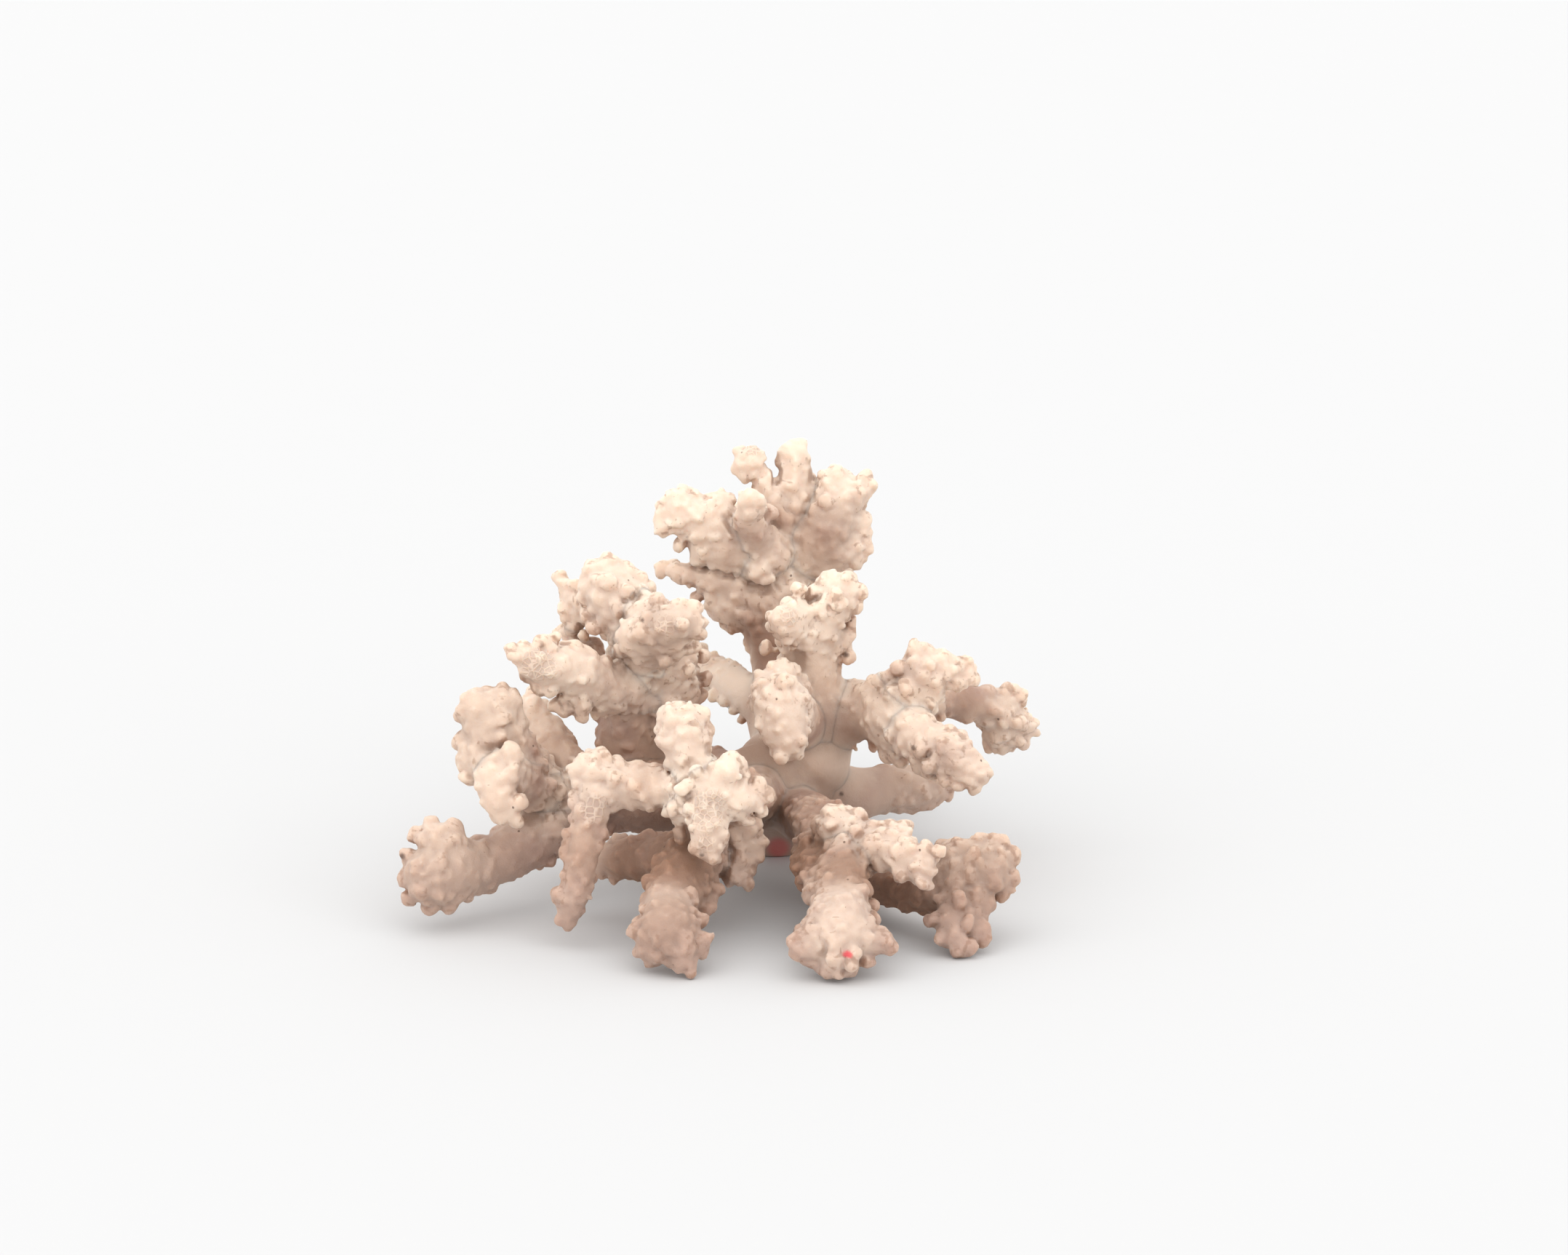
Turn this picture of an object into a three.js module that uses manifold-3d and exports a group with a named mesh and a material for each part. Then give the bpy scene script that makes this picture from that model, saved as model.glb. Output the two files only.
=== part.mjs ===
// A branching coral skeleton, cut off flat where it grew on rock. Millimetres, +Z up.
// The origin is the middle of the flat cut. Most branches reach forwards, towards -Y, and two of
// them come down as front feet, so the coral stands on the cut and on the feet.
// It is split at its main forks: each entry of BRANCHES is one piece, with a narrow seam to the next.
import * as THREE from "three";
import { mergeVertices } from "three/addons/utils/BufferGeometryUtils.js";
import Module from "manifold-3d";

// Driving dimensions
const SEAM = 0.3; // gap between neighbouring pieces
const THICK_LIMB = 5.5; // a limb at least this wide in radius gets more sides
const THICK_SIDES = 6;
const THIN_SIDES = 5;
const ROOT_SHARE = 0.65; // a limb starts this much narrower, inside the limb that it grows from
const BLUNT_TIP = 4.8; // a tip narrower than this closes in a blunt point, a wider one in a dome
const BLUNTNESS = 0.8; // length of a blunt point, as a share of its radius
const LUMP_RADIUS = 3; // small lumps that crowd towards the tips
const LUMP_SINK = 0.5; // share of a lump's radius that lies under the surface
const LUMP_AREA = 1050; // one lump for this much limb surface, in square millimetres
const LUMPY_FROM = 0.45; // the lumps start this far along a limb, where the smooth stem ends
const TIP_SPAN = 0.3; // how far past the last knot, in the same measure, the tip's dome is counted
const GOLDEN_ANGLE = Math.PI * (3 - Math.sqrt(5));
const GROUND_SIZE = 500; // block that cuts off what is below the rock face
const CORAL_COLOUR = 0xe5cbb7;
const BASE_COLOUR = 0xcfa08c; // the broken base is redder

// Each piece is a list of limbs, and each limb a list of knots [x, y, z, radius].
const BRANCHES = {
  trunk: [
    [[0, 0, 0, 12], [1, -5, 8, 11.5], [3, -17, 21, 12.5]],
    [[3, -19, 22, 12.5], [-2, -25, 21, 10.5]],
    [[3, -19, 22, 11.5], [9, -19, 28, 10.5]],
  ],
  crown_stem: [
    [[4, -13, 29, 8.5], [3, -7, 39, 6.5], [0, -2, 47.5, 5.5], [-0.5, 0, 54.5, 7], [1, 3, 62, 7.5],
      [3, 6, 67, 7.5]],
    [[-2, 0, 61, 7], [-10, 0, 65, 5], [-18, 0, 68.5, 3.5], [-24.5, 0, 69.5, 2]],
    [[-3, 0, 56, 5.5], [-9.5, -1, 59, 3.5], [-14, -1, 61, 2.5]],
  ],
  crown_left_arm: [
    [[3, 6, 68.5, 7.5], [-7.5, 0, 76.5, 7], [-17, -3, 82, 6.5], [-23, -4, 86.5, 4.5]],
    [[-12, -2, 81.5, 5], [-13, -3, 85.5, 3]],
    [[-22.5, -4, 83.5, 4], [-27, -5, 82, 2]],
    [[-4, 0, 72.5, 5.5], [-11, -2, 74.5, 4.5], [-17.5, -3, 75, 3]],
  ],
  crown_right_arm: [
    [[3, 6, 68.5, 7.5], [11.5, 6, 75.5, 8], [16, 6, 83.5, 7], [17, 6, 88.5, 4.5]],
    [[15.5, 6, 85.5, 5], [21.5, 5, 88.5, 3.5], [23.5, 5, 88, 2]],
    [[16, 6, 79.5, 5.5], [22.5, 5, 80, 2.5]],
    [[11.5, 6, 71.5, 7], [18.5, 5, 73.5, 4.5], [21, 5, 73.5, 2.5]],
    [[14.5, 6, 87.5, 4.5], [15, 6, 91.5, 2.5]],
  ],
  crown_spires: [
    [[6, 7, 75, 6], [6, 8, 85, 4.5], [6, 9, 92, 4], [5.5, 9, 97.5, 3]],
    [[4.5, 6, 75.5, 6], [1, 7, 83.5, 5], [-2.5, 7, 90, 3], [-4, 7, 93.5, 2.5], [-6, 7, 95, 2.5]],
    [[1.5, 2, 73.5, 6.5], [-4, -5, 79.5, 4.5], [-6, -10, 86, 3.5], [-5, -12, 90, 3]],
    [[0, -2, 73.5, 6], [-3, -4, 70.5, 3.5]],
  ],
  upper_right_branch: [
    [[7, -17, 30, 9.5], [10.5, -21, 37.5, 8], [9, -24, 48.5, 7.5], [8, -27, 58, 7]],
    [[7, -28, 58.5, 6], [4, -36, 64.5, 4.5], [2.5, -39, 66.5, 3.5]],
    [[7, -30, 61.5, 4.5], [6, -34, 67.5, 2.5]],
    [[9.5, -28, 58.5, 6.5], [14, -29, 66, 5.5], [15.5, -29, 71, 4], [15, -29, 73, 2.5]],
    [[15, -29, 68, 4.5], [19.5, -29, 70.5, 2.5]],
    [[12.5, -27, 59, 5], [16.5, -25, 59, 3]],
  ],
  oval_front_lobe: [
    [[7, -23, 36, 8.5], [5, -38, 42, 6.5], [2.5, -47, 48, 6]],
    [[1, -45, 51, 5], [2, -48, 46.5, 6.5], [3.5, -50, 40.5, 6], [4, -49, 37.5, 4]],
    [[1, -43, 49.5, 4], [-2, -42, 51, 2.5]],
    [[5, -34, 47.5, 6.5], [2.5, -40, 53, 3.5]],
  ],
  right_stem: [
    [[10, -19, 30, 8.5], [18.5, -22, 38, 7], [25.5, -27, 41, 7.5], [30, -34, 42, 8.5]],
    [[13, -20, 43, 6], [18.5, -22, 42, 4.5]],
    [[25, -28, 43, 6], [24.5, -30, 46.5, 3]],
    [[26, -31, 38.5, 6.5], [30, -36, 35.5, 4.5]],
  ],
  right_upper_arm: [
    [[30.5, -34, 42, 7.5], [34, -37, 49.5, 5.5], [37, -38, 54, 5], [40, -38, 55.5, 3.5]],
    [[35, -38, 54, 4], [34.5, -38, 58, 2]],
    [[38, -38, 52, 4.5], [43, -37, 52.5, 3.5], [46.5, -36, 52.5, 2.5]],
    [[33, -37, 46.5, 6], [36.5, -36, 46.5, 4.5]],
  ],
  right_lower_arm: [
    [[30.5, -35, 40.5, 7.5], [34.5, -43, 39, 6], [40, -49, 37, 4.5], [45, -53, 33.5, 4],
      [47.5, -54, 32, 2.5]],
    [[38.5, -48, 38, 4], [43, -49, 38, 2]],
    [[45.5, -53, 33, 3], [49, -53, 33.5, 2]],
    [[34.5, -45, 37.5, 5], [38, -48, 32.5, 3]],
  ],
  right_rear_arm: [
    [[31.5, -29, 43.5, 6.5], [42, -19, 41, 4.5], [50.5, -13, 39, 4.5], [58, -9, 35, 5],
      [60.5, -8, 33.5, 4]],
    [[57, -10, 38, 3.5], [60.5, -10, 40, 2]],
    [[55.5, -9, 33.5, 5], [55.5, -8, 30, 4]],
    [[60, -8, 33, 3.5], [63.5, -7, 32, 2]],
    [[58, -9, 32, 4.5], [60.5, -8, 30, 3]],
  ],
  right_side_branch: [
    [[7, -17, 21, 9.5], [20, -13, 16.5, 6.5], [28.5, -9, 16, 6], [36, -7, 16, 6], [40, -6, 15, 4]],
  ],
  front_right_leg: [
    [[6, -33, 17, 9], [13.5, -56, 19.5, 7], [17, -71, 20.5, 7], [16.5, -87, 18, 6.5], [16, -98, 14, 7],
      [15.5, -107, 11, 8]],
    [[14.5, -108, 10, 5.5], [10, -110, 8, 4], [7, -111, 7.5, 2.5]],
    [[17, -109, 10, 5.5], [22, -109, 8, 3], [24.5, -109, 7.5, 2]],
    [[15.5, -110, 9, 5.5], [14.5, -112, 4, 2.5]],
    [[6, -41, 20, 6.5], [10, -63, 19.5, 4], [9.5, -80, 16.5, 3.5], [11, -95, 14.5, 3]],
  ],
  front_right_arm: [
    [[15.5, -73, 23, 7.5], [15, -77, 26, 4.5]],
    [[16.5, -75, 23, 7], [24, -83, 23, 5], [30.5, -90, 22.5, 4.5], [35, -94, 22.5, 2.5]],
    [[25.5, -83, 23.5, 4.5], [29.5, -82, 25.5, 2]],
    [[31.5, -91, 21.5, 3.5], [34, -95, 19, 2]],
  ],
  low_right_fan: [
    [[7, -31, 16, 8.5], [18, -49, 8.5, 6], [28, -67, 8, 4.5], [36, -77, 10.5, 5], [43.5, -81, 14, 7.5]],
    [[43.5, -81, 14.5, 6.5], [47, -80, 19, 5.5], [48.5, -79, 21.5, 3]],
    [[45, -81, 16, 6], [51, -82, 18, 4.5], [53.5, -82, 19.5, 2.5]],
    [[47.5, -82, 14.5, 5.5], [53, -83, 14.5, 2.5]],
    [[41.5, -79, 15.5, 4.5], [40, -77, 20, 2]],
    [[42.5, -83, 12.5, 6], [42, -89, 7.5, 4.5], [41.5, -93, 4.5, 3]],
    [[44, -87, 9, 4.5], [47, -91, 5.5, 2]],
    [[45.5, -84, 12.5, 6], [48.5, -86, 10, 3]],
  ],
  upper_left_stem: [
    [[-4, -25, 23, 9.5], [-19.5, -27, 20, 7], [-33.5, -31, 28.5, 7.5], [-35.5, -34, 38.5, 7],
      [-32, -36, 48, 7], [-30, -38, 56.5, 8]],
    [[-19.5, -25, 25, 6], [-23.5, -28, 35, 7.5], [-24, -33, 47, 7.5], [-24.5, -37, 56, 7.5]],
  ],
  upper_left_lobe: [
    [[-30, -38, 57, 6.5], [-34, -38, 65, 7], [-36.5, -38, 71, 8], [-37.5, -38, 74, 6]],
    [[-38, -38, 73.5, 5.5], [-40, -37, 77.5, 3]],
    [[-35.5, -38, 71.5, 6], [-31, -38, 72.5, 3.5]],
    [[-37.5, -38, 72, 5], [-42.5, -38, 74, 3.5]],
  ],
  upper_left_front_lobe: [
    [[-30, -41, 57, 7.5], [-26.5, -48, 64, 6.5], [-23, -53, 68, 5.5], [-21, -53, 69, 4.5]],
    [[-30, -46, 61.5, 6], [-32, -50, 65, 4.5]],
    [[-33, -42, 62.5, 7], [-29, -44, 68.5, 5.5]],
    [[-23, -50, 66, 5.5], [-19, -52, 68, 3]],
    [[-26.5, -46, 61, 5], [-21.5, -48, 62.5, 3.5]],
  ],
  upper_left_rear_lobe: [
    [[-31, -33, 58.5, 6], [-39, -28, 64, 4.5], [-46.5, -24, 67.5, 4], [-49, -22, 70, 2.5]],
    [[-45.5, -25, 64, 4], [-48, -24, 64.5, 2.5]],
  ],
  left_middle_branch: [
    [[-30.5, -38, 47.5, 7], [-39.5, -46, 51.5, 6.5], [-47, -54, 57.5, 6.5], [-53.5, -60, 60, 5],
      [-58, -64, 63, 2.5]],
    [[-43.5, -49, 52, 5], [-46.5, -51, 50, 3]],
    [[-37, -43, 49.5, 5.5], [-40.5, -46, 48, 4]],
  ],
  left_rear_finger: [
    [[-33.5, -32, 46, 5], [-41.5, -26, 50, 3.5], [-47, -23, 56, 3.5], [-48.5, -22, 59, 2.5]],
  ],
  left_stem: [
    [[-3, -27, 22, 9.5], [-18, -33, 20.5, 9], [-31, -41, 23, 8.5], [-45, -47, 24, 8], [-54, -53, 26, 7]],
  ],
  far_left_lobe: [
    [[-54, -52, 29, 6.5], [-60.5, -60, 38.5, 8], [-65.5, -64, 45, 7.5], [-65.5, -65, 49.5, 5]],
    [[-65.5, -64, 42.5, 7], [-68, -67, 39, 5]],
    [[-62.5, -62, 45.5, 6], [-61.5, -63, 51.5, 3.5]],
    [[-66.5, -65, 48, 5.5], [-68.5, -66, 52, 3.5]],
  ],
  far_left_front_lobe: [
    [[-52.5, -54, 27.5, 6], [-57.5, -64, 32.5, 5.5], [-62.5, -71, 35.5, 5.5], [-62, -74, 31.5, 4.5],
      [-60, -74, 28, 2.5]],
    [[-61.5, -71, 36, 4.5], [-64.5, -73, 37.5, 3]],
    [[-60.5, -71, 36.5, 3.5], [-59.5, -72, 42.5, 2]],
  ],
  far_left_rear_finger: [
    [[-45, -45, 26, 6.5], [-50.5, -41, 32.5, 6.5], [-55, -37, 38.5, 5], [-57.5, -35, 43.5, 3]],
  ],
  low_left_branch: [
    [[-45, -49, 22, 7.5], [-55.5, -57, 17.5, 8], [-67, -65, 13.5, 7], [-76.5, -74, 14, 8.5],
      [-78, -75, 13.5, 7.5]],
    [[-72.5, -71, 17, 6], [-76, -72, 21, 4.5], [-77.5, -72, 21.5, 3.5]],
  ],
  front_left_leg: [
    [[-5, -35, 19, 9.5], [-13.5, -59, 20, 8], [-18.5, -79, 18, 8], [-22.5, -93, 13.5, 7],
      [-23, -105, 10.5, 7]],
    [[-22, -105, 9, 6], [-19.5, -109, 4.5, 3]],
    [[-19, -79, 19, 7], [-31, -71, 16.5, 5.5], [-39, -66, 15, 4.5]],
    [[-17.5, -78, 15, 5.5], [-15.5, -86, 11, 3]],
    [[-24, -105, 9, 5.5], [-28.5, -105, 6.5, 2.5]],
    [[-21, -105, 9.5, 5.5], [-16.5, -105, 7.5, 2.5]],
    [[-24, -106, 7.5, 4.5], [-26.5, -107, 5.5, 2]],
  ],
  star_branch: [
    [[-3, -37, 23, 9.5], [-7, -64, 29.5, 5.5], [-14, -87, 37.5, 6.5]],
    [[-13, -87, 38.5, 5.5], [-10, -90, 43, 3]],
    [[-12.5, -87, 37, 6], [-7.5, -88, 36, 4.5], [-4, -87, 35, 2.5]],
    [[-14.5, -87, 35, 6.5], [-14.5, -91, 30, 4.5], [-14, -93, 25.5, 2.5], [-13.5, -93, 24, 2]],
    [[-16.5, -87, 36, 6], [-20, -86, 32.5, 3.5]],
  ],
  star_finger: [
    [[-17, -86, 41, 6], [-19, -84, 47, 5], [-20, -82, 50.5, 5]],
    [[-20, -82, 50, 4.5], [-22, -81, 52.5, 3]],
    [[-19.5, -82, 50, 4.5], [-17.5, -81, 53, 3]],
    [[-19.5, -83, 48, 4.5], [-23, -82, 48.5, 2]],
    [[-18.5, -83, 47.5, 4.5], [-16, -82, 48, 2]],
  ],
  star_left_arm: [
    [[-17.5, -85, 37, 6.5], [-29, -80, 36, 5.5], [-38.5, -79, 37, 5.5], [-40.5, -80, 39, 4.5]],
    [[-40.5, -80, 39.5, 4], [-43, -81, 41, 2.5]],
    [[-39.5, -81, 36.5, 5.5], [-41, -83, 30.5, 4.5], [-42.5, -85, 25, 4], [-43, -87, 19, 4],
      [-44.5, -88, 12.5, 4], [-46, -87, 7, 2.5]],
  ],
  star_low_finger: [
    [[-10, -73, 31, 5.5], [-6.5, -71, 23.5, 4], [-6.5, -72, 18.5, 4], [-7.5, -75, 13.5, 2.5]],
    [[-6.5, -72, 19.5, 3.5], [-3.5, -72, 19, 2]],
  ],
  rear_left_branch: [
    [[1, -9, 24, 8.5], [-2, -2, 35.5, 5.5], [-10.5, 8, 39, 5], [-18, 16, 41, 5.5], [-24, 22, 45, 5]],
    [[-25, 18, 49, 5], [-34, 25, 48, 4.5]],
    [[-29, 22, 51, 4.5], [-28, 24, 55, 3]],
  ],
  rear_upper_branch: [
    [[6, -9, 30, 8], [10, 5, 39, 6.5], [13, 17, 50, 6], [13, 25, 61, 7], [11, 29, 71, 5.5]],
    [[13, 25, 61, 5.5], [19, 31, 66, 4]],
    [[12, 14, 48, 5], [2, 24, 54, 5], [-2, 30, 60, 4.5]],
  ],
  crown_rear_arm: [
    [[-1, 4, 60, 6.5], [-4, 14, 69, 6], [-5, 21, 79, 5]],
    [[-4, 14, 69, 5], [-12, 19, 73, 4]],
  ],
  rear_low_branch: [
    [[-1, -8, 17, 8], [-12, 6, 16.5, 5.5], [-22, 17, 18.5, 6], [-30, 23, 24, 5]],
    [[-21, 16, 19, 5], [-24, 27, 15, 4]],
  ],
  rear_right_branch: [
    [[10, -7, 24, 8.5], [19, 7, 29, 5.5], [29, 19, 30, 6], [37, 25, 33, 5.5]],
    [[28, 19, 29, 5], [36, 27, 24, 4]],
  ],
  rear_foot: [
    [[2, -5, 14, 9.5], [4, 13, 11, 7], [7, 29, 7, 6.5], [9, 39, 5, 5]],
    [[5, 21, 9, 5], [0, 33, 9, 4]],
  ],
};

const wasm = await Module();
wasm.setup();

// A closed geometry as a solid that can be joined and cut.
function solidOf(geometry) {
  const bare = geometry.clone();
  bare.deleteAttribute("normal");
  bare.deleteAttribute("uv");
  const merged = mergeVertices(bare, 1e-4);
  return new wasm.Manifold(new wasm.Mesh({
    numProp: 3,
    vertProperties: merged.attributes.position.array,
    triVerts: new Uint32Array(merged.index.array),
  }));
}

// The smooth line through a limb's knots, and a frame at each knot that turns with it untwisted.
function spine(knots) {
  const points = knots.map(([x, y, z]) => new THREE.Vector3(x, y, z));
  const path = new THREE.CatmullRomCurve3(points, false, "centripetal");
  const first = path.getTangent(0);
  const start = Math.abs(first.z) < 0.9 ? new THREE.Vector3(0, 0, 1) : new THREE.Vector3(1, 0, 0);
  const side = new THREE.Vector3().crossVectors(start, first).normalize();
  return points.map((point, i) => {
    const along = path.getTangent(i / (points.length - 1));
    side.addScaledVector(along, -side.dot(along)).normalize();
    const across = new THREE.Vector3().crossVectors(side, along);
    return { point, along, side: side.clone(), across, radius: knots[i][3] };
  });
}

function standsOnCut(knots) {
  return knots[0][2] === 0;
}

// A limb: a turned profile with a round tip, bent so that its axis follows the spine.
// A polygon of these sides has the round limb's own area.
function limbSolid(knots, grow) {
  const frames = spine(knots);
  const sides = Math.max(...knots.map((knot) => knot[3])) < THICK_LIMB ? THIN_SIDES : THICK_SIDES;
  const fullness = Math.sqrt((2 * Math.PI) / sides / Math.sin((2 * Math.PI) / sides));
  const root = frames[0];
  const tip = frames[frames.length - 1];
  const rings = frames.map((frame) => ({ frame, radius: frame.radius + grow, ahead: 0 }));
  if (!standsOnCut(knots)) rings[0].radius = ROOT_SHARE * root.radius + grow;
  rings[0].ahead = -grow;
  rings.unshift({ frame: root, radius: 0, ahead: -grow });
  const tipRadius = tip.radius + grow;
  if (tip.radius > BLUNT_TIP) rings.push({ frame: tip, radius: 0.78 * tipRadius, ahead: 0.62 * tipRadius });
  rings.push({ frame: tip, radius: 0, ahead: (tip.radius > BLUNT_TIP ? 1 : BLUNTNESS) * tipRadius });
  const profile = rings.map((ring, i) => new THREE.Vector2(ring.radius * fullness, i));
  const lathe = new THREE.LatheGeometry(profile, sides);
  const position = lathe.getAttribute("position");
  const moved = new THREE.Vector3();
  for (let i = 0; i < position.count; i++) {
    const { frame, ahead } = rings[Math.round(position.getY(i))];
    moved.copy(frame.point).addScaledVector(frame.along, ahead);
    moved.addScaledVector(frame.side, position.getX(i));
    moved.addScaledVector(frame.across, position.getZ(i));
    position.setXYZ(i, moved.x, moved.y, moved.z);
  }
  return solidOf(lathe);
}

// A point on a limb's skin: s runs from 0 at its root to 1 at the last knot, then over the tip.
function skinPoint(frames, s, angle) {
  const reach = Math.min(s, 1) * (frames.length - 1);
  const i = Math.min(Math.floor(reach), frames.length - 2);
  const mix = reach - i;
  const [a, b] = [frames[i], frames[i + 1]];
  const radius = THREE.MathUtils.lerp(a.radius, b.radius, mix);
  const rise = s > 1 ? ((s - 1) / TIP_SPAN) * (Math.PI / 2) : 0;
  const out = a.side.clone().lerp(b.side, mix).multiplyScalar(Math.cos(angle) * Math.cos(rise));
  out.addScaledVector(a.across.clone().lerp(b.across, mix), Math.sin(angle) * Math.cos(rise));
  out.addScaledVector(a.along.clone().lerp(b.along, mix), Math.sin(rise)).normalize();
  return { centre: a.point.clone().lerp(b.point, mix), out, radius };
}

// The lumps of a limb, laid round it by the golden angle from where the smooth stem ends.
function lumps(knots, order, grow) {
  const frames = spine(knots);
  let length = 0;
  for (let i = 1; i < frames.length; i++) length += frames[i].point.distanceTo(frames[i - 1].point);
  const radius = frames.reduce((sum, frame) => sum + frame.radius, 0) / frames.length;
  const skin = 2 * Math.PI * radius * ((1 - LUMPY_FROM) * length + radius);
  const count = Math.round(skin / LUMP_AREA);
  return Array.from({ length: count }, (_, k) => {
    const s = LUMPY_FROM + ((1 + TIP_SPAN - LUMPY_FROM) * (k + 0.6)) / count;
    const spot = skinPoint(frames, s, GOLDEN_ANGLE * k + order);
    const size = Math.min(LUMP_RADIUS, 0.75 * spot.radius);
    const lump = new THREE.OctahedronGeometry(size + grow);
    const depth = spot.radius - LUMP_SINK * size;
    lump.translate(...spot.centre.addScaledVector(spot.out, depth).toArray());
    return solidOf(lump);
  });
}

// All the limbs of a piece and their lumps, joined into one.
function growth(limbs, grow = 0) {
  return wasm.Manifold.union(
    limbs.flatMap((knots, order) => [limbSolid(knots, grow), ...lumps(knots, order, grow)]),
  );
}

function meshOf(solid, name, colour) {
  const { vertProperties, triVerts } = solid.getMesh();
  const geometry = new THREE.BufferGeometry();
  geometry.setAttribute("position", new THREE.BufferAttribute(vertProperties, 3));
  geometry.setIndex(new THREE.BufferAttribute(triVerts, 1));
  geometry.computeVertexNormals();
  const material = new THREE.MeshStandardMaterial({ color: colour, roughness: 0.85, metalness: 0 });
  const mesh = new THREE.Mesh(geometry, material);
  mesh.name = name;
  return mesh;
}

// Each piece stops at the seam to the pieces before it, and at the flat cut.
const ground = new THREE.BoxGeometry(GROUND_SIZE, GROUND_SIZE, GROUND_SIZE);
ground.translate(0, 0, -GROUND_SIZE / 2);
const below = solidOf(ground);
const coral = new THREE.Group();
const grown = [];
for (const [name, limbs] of Object.entries(BRANCHES)) {
  let piece = growth(limbs).subtract(below);
  for (const earlier of grown) piece = piece.subtract(earlier);
  const [body] = piece.decompose().sort((a, b) => b.volume() - a.volume());
  coral.add(meshOf(body, name, name === "trunk" ? BASE_COLOUR : CORAL_COLOUR));
  grown.push(growth(limbs, SEAM));
}

export default coral;
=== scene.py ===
"""A branching coral skeleton: the looks of its pieces, round the model that is loaded as the frame.

Every piece is the skin of one distance field, worked out once for the whole coral. The field is
the smooth union of the limbs, which are round cones along smooth paths, and of the lumps that are
scattered over them. Lengths in the field are millimetres; Blender's meshes are in metres.
"""

import math

import bpy
import numpy as np
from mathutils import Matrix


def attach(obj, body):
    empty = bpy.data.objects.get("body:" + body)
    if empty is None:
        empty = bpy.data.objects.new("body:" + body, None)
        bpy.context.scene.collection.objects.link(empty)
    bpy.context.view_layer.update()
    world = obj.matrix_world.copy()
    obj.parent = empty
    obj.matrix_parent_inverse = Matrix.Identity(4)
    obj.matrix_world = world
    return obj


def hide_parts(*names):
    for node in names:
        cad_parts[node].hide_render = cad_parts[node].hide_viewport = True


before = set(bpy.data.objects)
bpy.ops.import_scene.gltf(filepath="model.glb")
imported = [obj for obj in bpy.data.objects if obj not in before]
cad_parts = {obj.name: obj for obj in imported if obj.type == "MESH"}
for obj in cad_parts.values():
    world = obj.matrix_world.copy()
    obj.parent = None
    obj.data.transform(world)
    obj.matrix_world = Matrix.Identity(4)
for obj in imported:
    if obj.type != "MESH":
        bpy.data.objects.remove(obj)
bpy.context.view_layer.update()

bl_info = {
    "name": "Branching coral skeleton",
    "version": (1, 0, 0),
    "blender": (4, 5, 0),
    "location": "3D View > Sidebar > Coral",
    "description": "Grows a branching coral skeleton and sets a plain studio round it",
    "category": "Add Mesh",
}

MM = 0.001

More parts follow.
